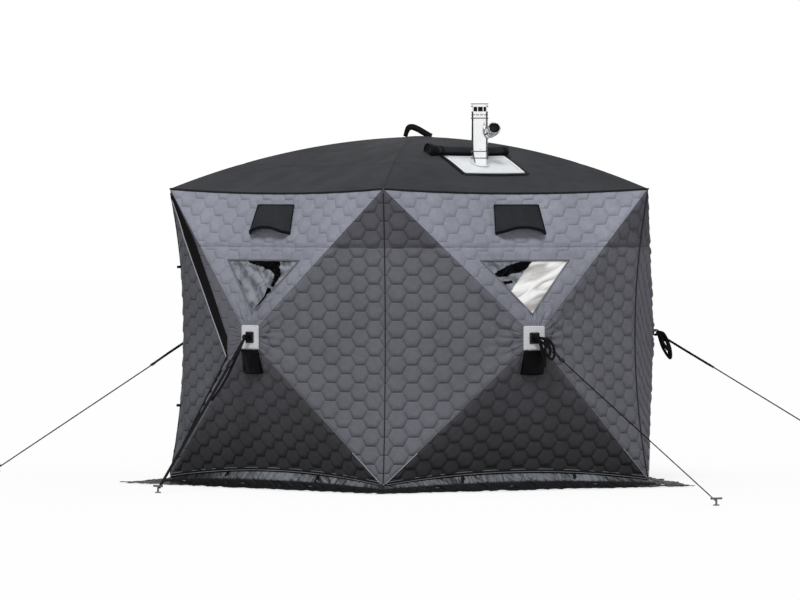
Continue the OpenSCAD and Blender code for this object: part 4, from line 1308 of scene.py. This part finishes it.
def skirtPoints(spec, wall):
    # the drop from the hem to the ground, then the part that lies on the ground; and how much painted light
    # each point gets
    n, foot, swelling = spec["columns"], apothem + spec["foot"], spec["swell"]
    u, t = uvGrid(n, spec["drop"])
    hem = hemAt(u) * vec(spec["trim"], 1, 1) + vec(0, -0.004, 0)
    fall = mix(hem, pts((2 * u - 1) * foot * tan36 * spec["trim"], -foot, 0.006), t)
    slant = pts((fall[:, 0] * 0.8 + fall[:, 2] * 1.2) * 26, (fall[:, 0] * 0.6 - fall[:, 2] * 0.8) * 8, 0)
    fold, sway = 1 - 2.4 * np.abs(ripple(slant, 1.0, wall + 4.0)), ripple(fall, 6, wall + 6.0)
    ease = smooth(t / 0.2) * bow(np.clip(u, 0.02, 0.98)) ** 0.3
    swell = swelling * smooth(t / 0.6)
    fall[:, 0] += (2 * u - 1) * swell * tan36
    fall[:, 1] -= (spec["fold"] * fold + spec["sway"] * sway) * ease + swell
    # painted light all along the upper drop, on the door wall only away from the jamb
    paintedShine = 0.42 + 0.74 * smooth((u - 0.1) / 0.45) if wall == 4 else 1.1
    # painted light on the upper drop and painted shade on the lower, paler still on the fold crests
    lit = smooth((0.66 - t) / 0.24) * (0.35 + 0.65 * bow(u) ** 0.5) * paintedShine
    pale = np.clip(lit * (0.58 + 0.30 * fold + 0.45 * sway), 0, 1)
    u, t = (column[n + 1:] for column in uvGrid(n, spec["ground"]))
    along = pts(np.linspace(0, 1, n + 1) * 2, 0, 0)
    ragged = ripple(along, 3.0, wall + 9.0) * 0.034 + ripple(along, 14.0, wall + 2.5) * 0.014 - 0.015
    inner = foot + swelling
    r = inner + (apothem + spec["out"] - inner + np.tile(ragged, spec["ground"]) * bow(u) ** 0.4) * t
    laid = pts((2 * u - 1) * r * tan36 * spec["trim"], -r, 0)
    bump = np.abs(ripple(laid, 11, wall + 7.0)) * 0.022 + np.abs(ripple(laid, 27, wall + 5.0)) * 0.010
    laid[:, 2] = 0.0035 + bump * smooth(t / 0.15) * (0.55 + 0.45 * (1 - t))
    thick = np.concatenate([fall + vec(0, spec["thick"], 0), laid - vec(0, 0, spec["thick"])])
    # faint painted highlights on the bumps of the part on the ground
    return np.concatenate([fall, laid]), thick, np.concatenate([pale, np.clip(bump / 0.018, 0, 1) * 0.12])


def makeSkirts():
    spec = dict(foot=0.022, swell=0.024, out=0.250, drop=18, ground=18, columns=200, thick=0.002,
                fold=0.0060, sway=0.009, trim=0.9995, flat=(2.25, 0.36))
    trim = dict(tape=0.018, eyes=(-0.62, -0.12, 0.45), eyeR=0.011, eyeOut=0.15, eyeZ=0.026,
                loops=(-0.38, 0.38))
    faces = gridFaces(spec["columns"], spec["drop"] + spec["ground"], True)
    hang = np.array([(0, 0, 0), (0.004, -0.012, -0.02), (0.006, -0.016, -0.046), (-0.002, -0.020, -0.058),
                     (-0.008, -0.024, -0.044), (-0.004, -0.018, -0.02), (0, -0.006, 0)])
    hem = hemAt(np.linspace(0.012, 0.988, 80)) + vec(0, -0.0075, 0.004)
    tapes, lines, eyes, loops = [], [], [], []
    for wall, name in enumerate(wallNames):
        points, inner, paintedLight = skirtPoints(spec, wall)
        part = thickSheet(points, faces, inner, np.stack([points[:, 0], points[:, 1] - points[:, 2]], -1))
        laySheet("skirt_" + name, turned(part, wall), "skirt",
                 ["snow_skirts"],
                 dict(paintedLight=np.tile(paintedLight, 2)))
        # tape over the hem, two sewn lines on it, peg loops and eyelets
        tapes.append(rod(wall, hem, strapProfile(trim["tape"], 0.0016), (0, -0.97, -0.24)))
        lines += [turnTo(hem + vec(0, -0.0040, rise), wall) for rise in (0.0165, 0.0015)]
        for x in trim["eyes"]:
            eye = hoop(x, -apothem - trim["eyeOut"], trim["eyeZ"], trim["eyeR"], 24)
            eyes.append(rod(wall, eye, ring(0.0030, 8), (0, 0, 1), True))
        for x in trim["loops"]:
            z = hemAt(np.array([(x / halfW + 1) / 2]))[0, 2]
            path = curveThrough(vec(x, -apothem - 0.011, z + 0.004) + hang, 40)
            loops.append(rod(wall, path, strapProfile(0.016, 0.0024), flatUp(path, (0.94, -0.34, 0))))
    assemble("hem_tape", tapes, "black")
    assemble("skirt_eyelets", eyes, "zinc")
    assemble("peg_loops", loops, "strap")
    sewRow("hem_stitching", lines, "thread", 0.0100, 0.0092, 0.0028)


# cords sewn down the corners, toggles on them, binding under the roof's edge, piping along the lowest ridges

def makeWelts():
    spec = dict(radius=0.0028, toggles=(1.31, 0.47), piping=0.0030, piped=0.24)
    away, along = vec(sin36, -cos36, 0), vec(cos36, sin36, 0)
    cord = seamAt(1, np.linspace(0.012, 0.985, 110)) + 0.0035 * away
    eave = eaveAt(np.linspace(0.004, 0.996, 90)) + vec(0, -0.0045, -0.001)
    loop = np.array([(-0.006, 0), (-0.008, 0.012), (0, 0.022), (0.008, 0.012), (0.006, 0)])
    loop = loop[:, :1] * along + loop[:, 1:] * away
    cords, bindings, tabs, pipes = [], [], [], []
    for wall in range(5):
        cords.append(rod(wall, cord, ring(spec["radius"], 8), away))
        bindings.append(rod(wall, eave, strapProfile(0.006, 0.011), (0, -0.3, 0.95)))
        for z in spec["toggles"] if wall in (1, 2, 3) else ():
            root = seamAt(1, np.array([(z - lowZ) / wallTall]))[0] + 0.004 * away
            tabs.append(rod(wall, curveThrough(root + loop, 24), strapProfile(0.0026, 0.016), (0, 0, 1)))
        for side in (1,) if wall == 4 else (-1, 1):
            ridge = mix(cornerAt(side, lowZ), patchAt(side, -1), np.linspace(0.015, spec["piped"], 40))
            pipes.append(rod(wall, ridge + vec(0, -0.004, 0.001), ring(spec["piping"], 8), (0, -1, 0)))
    assemble("corner_welts", cords, "welt")
    assemble("eave_binding", bindings, "welt")
    assemble("corner_toggles", tabs, "strap")
    assemble("ridge_piping", pipes, "piping")


makeSkirts()
makeWelts()
print("skirts and corner cords made")

# stove jack, rolled cover, handle

def makeJack():
    spec = dict(columns=56, rows=38, lift=0.004, border=0.022, edging=0.014, inset=0.018, thick=0.003,
                collar=0.0045, flat=(0.44, 0.30))
    w, l, mid, flueX, lift = jack["halfW"], jack["halfL"], jack["mid"], jack["flueX"], spec["lift"]
    hole = jack["flueR"] + 0.002
    u, v = uvGrid(spec["columns"], spec["rows"])
    x, y = (2 * u - 1) * w, mid + (2 * v - 1) * l
    reach = np.hypot(x - flueX, y - mid)
    faces = [f for f in gridFaces(spec["columns"], spec["rows"]) if max(reach[list(f)]) > hole]
    # points inside the hole move out to its edge, where the cloth turns up round the pipe
    pull = np.where(reach < hole, hole / np.maximum(reach, 1e-6), 1.0)
    x, y = flueX + (x - flueX) * pull, mid + (y - mid) * pull
    points = roofFace(x, y, lift)
    edge = np.minimum(w - np.abs(x), l - np.abs(y - mid))
    points[:, 2] += 0.0030 * ripple(points, 15, 4.0) * smooth(edge / 0.04)
    points[:, 2] += 0.010 * np.exp(-(np.hypot(x - flueX, y - mid) - hole) / 0.018)
    used = sorted({i for f in faces for i in f})
    index = {old: new for new, old in enumerate(used)}
    points, faces = points[used], [tuple(index[i] for i in f) for f in faces]
    part = thickSheet(points, faces, points - vec(0, 0, spec["thick"]), points[:, :2])
    laySheet("jack_cloth", turned(part, 0), "silver",
             ["stove_jack"])
    parts, lines, edges = [], [], []
    ends = np.array([(-w, -l), (w, -l), (w, l), (-w, l), (-w, -l)])
    inset = np.array([(w - spec["inset"]) / w, (l - spec["inset"]) / l])
    for a, b in zip(ends, ends[1:]):
        flat = mix(a, b, np.linspace(0, 1, 30))
        onRoof = lambda line, out: roofFace(line[:, 0], mid + line[:, 1], lift + out)
        parts.append(rod(0, onRoof(flat, 0.002), strapProfile(spec["border"], 0.004), roofUp))
        edges.append(rod(0, onRoof(flat * inset, 0.0038), strapProfile(spec["edging"], 0.0024), roofUp))
        lines.append(turnTo(onRoof(flat * inset, 0.0052), 0))
    assemble("jack_binding", parts, "strap")
    assemble("jack_edging", edges, "edging")
    sewRow("jack_stitching", lines, "thread", 0.008, 0.0055, 0.0013)
    # collar where the cloth grips the pipe
    grip = hoop(flueX, mid, 0, jack["flueR"] + 0.004, 48)
    collar = rod(0, roofFace(grip[:, 0], grip[:, 1], 0.016), ring(spec["collar"], 8), (0, 0, 1), True)
    assemble("jack_collar", [collar], "silver")


def elbowAt(spec, phi, psi, r):
    # a point of the side elbow, seen from its root: phi along its bend, psi round the tube
    tip, turn, bend = math.radians(spec["tip"]), math.radians(spec["turn"]), spec["bend"]
    x = (bend + r * np.cos(psi)) * np.sin(phi)
    q, h = bend - (bend + r * np.cos(psi)) * np.cos(phi), r * np.sin(psi)
    y, z = q * math.cos(tip) - h * math.sin(tip), q * math.sin(tip) + h * math.cos(tip)
    return pts(x * math.cos(turn) + y * math.sin(turn), y * math.cos(turn) - x * math.sin(turn), z)


def makeFlue():
    spec = dict(bead=0.0032, beads=(-0.040, 0.0, 0.199), gores=(46, 60, 73), gore=0.0014, rim=84.5,
                rolled=0.0026, seams=((-1.05, -0.10, 0.0), (-2.0, 0.01, 0.08)), slots=12, slotZ=0.219,
                blackening=(44, 77), throat=0.0365, branch=0.106, bend=0.088, tubeR=0.035, tip=155, turn=28)
    low, radius, up = float(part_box("flue_tee")[0][2]), jack["flueR"], (0, 0, 1)
    capLow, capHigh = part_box("flue_cap")
    top, wide = capHigh[2], 0.5 * (capHigh[0] - capLow[0])
    foot = vec(jack["flueX"], jack["mid"], 0)
    root = foot + vec(0, 0, low + spec["branch"])
    onPipe = lambda r, z, a: foot + pts(r * np.cos(a), r * np.sin(a), z)
    a = turns(64)
    parts = [rod(0, onPipe(radius + 0.0012, low + rise, a), ring(spec["bead"], 10), up, True)
             for rise in spec["beads"]]
    # the elbow's gore seams, its rolled rim, and the saddle seam where it leaves the pipe
    bands = [(phi, spec["gore"]) for phi in spec["gores"]] + [(spec["rim"], spec["rolled"])]
    hoops = [(elbowAt(spec, math.radians(phi), a, spec["tubeR"] + 0.0004), thick) for phi, thick in bands]
    saddle = []
    for psi in a:
        run = elbowAt(spec, np.radians(np.linspace(6, 75, 140)), psi, spec["tubeR"])
        saddle.append(run[int(np.argmax(np.hypot(run[:, 0], run[:, 1]) > radius))])
    hoops.append((np.array(saddle), spec["rolled"]))
    parts += [rod(0, root + loop, ring(thick, 8), loop - loop.mean(0), True) for loop, thick in hoops]
    assemble("flue_beads", parts, "band")
    # folded seams down the side of the pipe
    parts = []
    for turn, start, end in spec["seams"]:
        line = onPipe(radius + 0.0006, np.linspace(low + start, low + end, 12), turn)
        parts.append(rod(0, line, strapProfile(0.007, 0.0016), (math.cos(turn), math.sin(turn), 0)))
    assemble("flue_seams", parts, "steel")
    # painted shadow: dark marks for the slots under the cap and a dark line round its top, and painted shade
    # inside the elbow and under the cap
    parts = []
    for k in range(spec["slots"]):
        b = 2 * math.pi * (k + np.linspace(0.14, 0.86, 8)) / spec["slots"]
        slot = onPipe(radius + 0.0004, low + spec["slotZ"], b)
        parts.append(rod(0, slot, strapProfile(0.0016, 0.0045), up))
    parts.append(rod(0, onPipe(wide * 0.97, top - 0.0025, a), ring(0.0022, 8), up, True))
    inside = root + elbowAt(spec, np.radians(np.linspace(*spec["blackening"], 16)), 0.0, 0.0)
    parts.append(rod(0, inside, ring(spec["tubeR"] - 0.0022, 32), up))
    under = foot + pts(0, 0, np.linspace(low + 0.20, top - 0.0205, 12))
    parts.append(rod(0, under, ring(spec["throat"], 40), (1, 0, 0)))
    assemble("flue_shade", parts, "blackening")


def makeRoll():
    spec = dict(radius=0.0315, core=0.006, start=-0.29, end=0.25, mid=-0.66, lift=0.022, turns=3.2,
                thick=0.0030, steps=72,
                ties=((0.014, 0.024), (0.045, 0.026), (0.085, 0.026), (0.17, 0.016), (0.955, 0.024)))
    # one long strip wound up, seen end on
    t = np.linspace(0, 1, 70)
    a = -2 * math.pi * spec["turns"] * t + 0.9
    r = spec["core"] + (spec["radius"] - spec["core"]) * t
    outer, inner = (np.stack([(r + half) * np.cos(a), (r + half) * np.sin(a)], -1)
                    for half in (spec["thick"] / 2, -spec["thick"] / 2))
    along = np.linspace(0, 1, spec["steps"] + 1)
    z = roofFace(np.array([0.0]), spec["mid"])[0, 2] + spec["lift"]
    z = z + 0.003 * np.sin(along * 7) + 0.004 * smooth((0.12 - along) / 0.12)
    path = pts(spec["start"] + (spec["end"] - spec["start"]) * along, spec["mid"], z)
    flare = 1 + 0.34 * smooth((0.07 - along) / 0.07) - 0.16 * bell(along - 0.955, 0.025)
    flare -= 0.10 * bell(along - 0.17, 0.03)
    points, faces, uv = sweep(path, np.concatenate([outer, inner[::-1]]), (0, 0, 1), False, flare)
    wave = 0.0022 * ripple(points * vec(0.5, 1, 1), 34, 3.0)
    points += pts(0, wave * 0.5, wave)
    assemble("jack_roll", [(turnTo(points, 0), faces, uv)], "cover", ["jack_cover_roll"])
    # ties round the roll, some with a tail that lies on the roof
    parts = []
    for share, width in spec["ties"]:
        k = int(round(share * spec["steps"]))
        reach = spec["radius"] * flare[k] + 0.0045
        loop = path[k] + pts(0, reach * np.cos(turns(32)), reach * np.sin(turns(32)))
        parts.append(rod(0, loop, strapProfile(width, 0.0022), flatUp(loop, (1, 0, 0), True), True))
        if share > 0.1:
            lying = np.array([(0, 0, 0), (0.004, -0.02, -0.004), (0.008, -0.045, -0.012)])
            tail = curveThrough(loop[20] + lying, 10)
            tail[:, 2] = np.maximum(tail[:, 2], roofFace(tail[:, 0], tail[:, 1], 0.004)[:, 2])
            parts.append(rod(0, tail, strapProfile(0.016, 0.0022), roofUp))
    assemble("roll_ties", parts, "strap")


def makeHandle():
    spec = dict(span=0.15, lead=0.006, height=0.058, width=0.036, thick=0.016)
    t = np.linspace(0, 1, 46)
    foot, half = hut["apexZ"] + 0.004, spec["span"] / 2
    arch = pts(half * (2 * t - 1), 0, foot + spec["height"] * np.sin(math.pi * t ** 0.45))
    ends = [[vec(side * (half + spec["lead"]), 0, foot)] for side in (-1, 1)]
    path = curveThrough(np.concatenate([ends[0], arch[1:-1:3], ends[1]]), 60)
    strap = sweep(path, strapProfile(spec["width"], spec["thick"]), flatUp(path, (0, 0.45, 0.9)))
    assemble("carry_strap", [strap], "jet", ["roof_handle"])


makeJack()
makeFlue()
makeRoll()
makeHandle()
print("stove jack, roll and handle made")

# guys

guySpec = dict(reach=[2.1, 1.5, 1.42999, 1.5, 0.76], ropeR=0.0045, tie=0.026, tabY=hubY - 0.039,
               strapUp=(0, -0.76, 0.65))
guyTab = vec(0, guySpec["tabY"], hubZ)


def guyLine(wall, count):
    end = vec(0, hubY - guySpec["reach"][wall] + 0.006, guySpec["tie"])
    return mix(guyTab - vec(0, 0.001, 0), end, np.linspace(0, 1, count))


def makeRopes():
    # how many steps the second strand runs, how thick it is and the loops are,
    # and each loop's side, drop and width
    front = dict(strand=36, stout=0.9, loop=0.0074, swing=0.0, tails=((1, 0.125, 0.075), (1, 0.105, 0.045),
                 (1, 0.165, 0.012), (1, 0.05, 0.030)))
    others = dict(strand=62, stout=1.9, loop=0.0090, swing=1.0, tails=((1, 0.150, 0.040), (-1, 0.106, 0.030),
                  (1, 0.160, 0.012), (-1, 0.05, 0.038)))
    knot = dict(half=0.013, radius=0.0165, cord=0.0048)
    up = (0, 0, 1)
    a = np.linspace(0, 4 * math.pi, 60)
    coil = guyTab + pts(knot["half"] * (a / (2 * math.pi) - 1), 0.004 + knot["radius"] * np.cos(a),
                        knot["radius"] * np.sin(a))
    ropes, sliders, loops = [], [], []
    for wall in range(4):
        spec = others if wall else front
        line, k = guyLine(wall, 260), spec["strand"]
        ropes.append(rod(wall, line, ring(guySpec["ropeR"], 10, 3, 0.22), up, False, 34))
        # second strand back to a tensioner
        strand = line[:k] + pts(np.sin(np.linspace(0, math.pi, k)) * 0.014 + 0.0045, 0, 0)
        ropes.append(rod(wall, strand, ring(guySpec["ropeR"] * spec["stout"], 8, 3, 0.2), up, False, 34))
        sliders.append(rod(wall, line[k - 2:k + 3] + vec(0.003, 0, 0), strapProfile(0.026, 0.011), up))
        # knot at the tab and slack loops that hang from it
        loops.append(rod(wall, coil, ring(knot["cord"], 8), (1, 0.01, 0)))
        for side, drop, wide in spec["tails"]:
            swing = drop * spec["swing"]
            hang = np.array([(0.006 * side, -0.012, 0.004),
                             (0.030 * side + wide * 0.5, -0.024 - 0.20 * swing, -0.012),
                             (0.026 * side + wide, -0.026 - 0.42 * swing, -drop * 0.6),
                             (0.028 * side + wide * 0.75, -0.024 - 0.44 * swing, -drop),
                             (0.022 * side + wide * 0.1, -0.022 - 0.15 * swing, -drop * 0.6),
                             (0.004 * side, -0.012, -0.008)])
            loops.append(rod(wall, curveThrough(guyTab + hang, 46), ring(spec["loop"], 8), (0.3, 1, 0)))
    assemble("guy_lines", ropes, "rope", ["guy_ropes"])
    assemble("guy_knots", loops, "rope")
    assemble("guy_sliders", sliders, "plastic")


def makeStrap():
    # flat strap of the door wall, its turn round the tab, a slack length, and a buckle near the top
    spec = dict(width=0.025, wrapR=0.017, slack=0.022, buckle=0.036)
    up, line = guySpec["strapUp"], guyLine(4, 60)
    strap = rod(4, line, strapProfile(spec["width"], 0.003), up)
    assemble("guy_webbing", [strap], "strap", ["guy_strap"])
    a = np.linspace(0, 2 * math.pi, 30)
    wrap = guyTab + pts(0, 0.002 + spec["wrapR"] * np.cos(a), spec["wrapR"] * np.sin(a))
    sag = np.array([(0.004, -0.004, -0.004), (0.012, 0.002, -0.012), (0.016, 0.006, -0.020),
                    (0.008, 0.004, -0.014)])
    slack = curveThrough(line[[2, 8, 16, 24]] + sag, 40)
    parts = [rod(4, wrap, strapProfile(spec["width"], 0.0025), flatUp(wrap, (1, 0, 0))),
             rod(4, slack, strapProfile(spec["slack"], 0.0025), up)]
    assemble("strap_turns", parts, "strap")
    buckle = rod(4, line[9:13], strapProfile(spec["buckle"], 0.009), up)
    assemble("strap_buckle", [buckle], "plastic")


makeRopes()
makeStrap()
print("guys made")

# pieces that keep their solid shape get their finish here

def dressSolids():
    finish = dict(wall_hubs="plastic", roof_hub="plastic", corner_joints="plastic", corner_feet="plastic",
                  wall_poles="fibre", roof_poles="fibre", ice_anchors="zinc", flue_pipe="steel",
                  flue_tee="steel", flue_cap="steel")
    for node, key in finish.items():
        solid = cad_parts[node]
        if not solid.material_slots:
            solid.data.materials.append(cloths[key])
        for holder in solid.material_slots:
            holder.material = cloths[key]


dressSolids()
print("solids dressed")

sizes = {o.name: sum(len(f.vertices) - 2 for f in o.data.polygons)
         for o in scene.objects if o.type == "MESH" and o.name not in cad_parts}
print("triangles", sum(sizes.values()), sorted(((n, k) for k, n in sizes.items()), reverse=True)[:6])
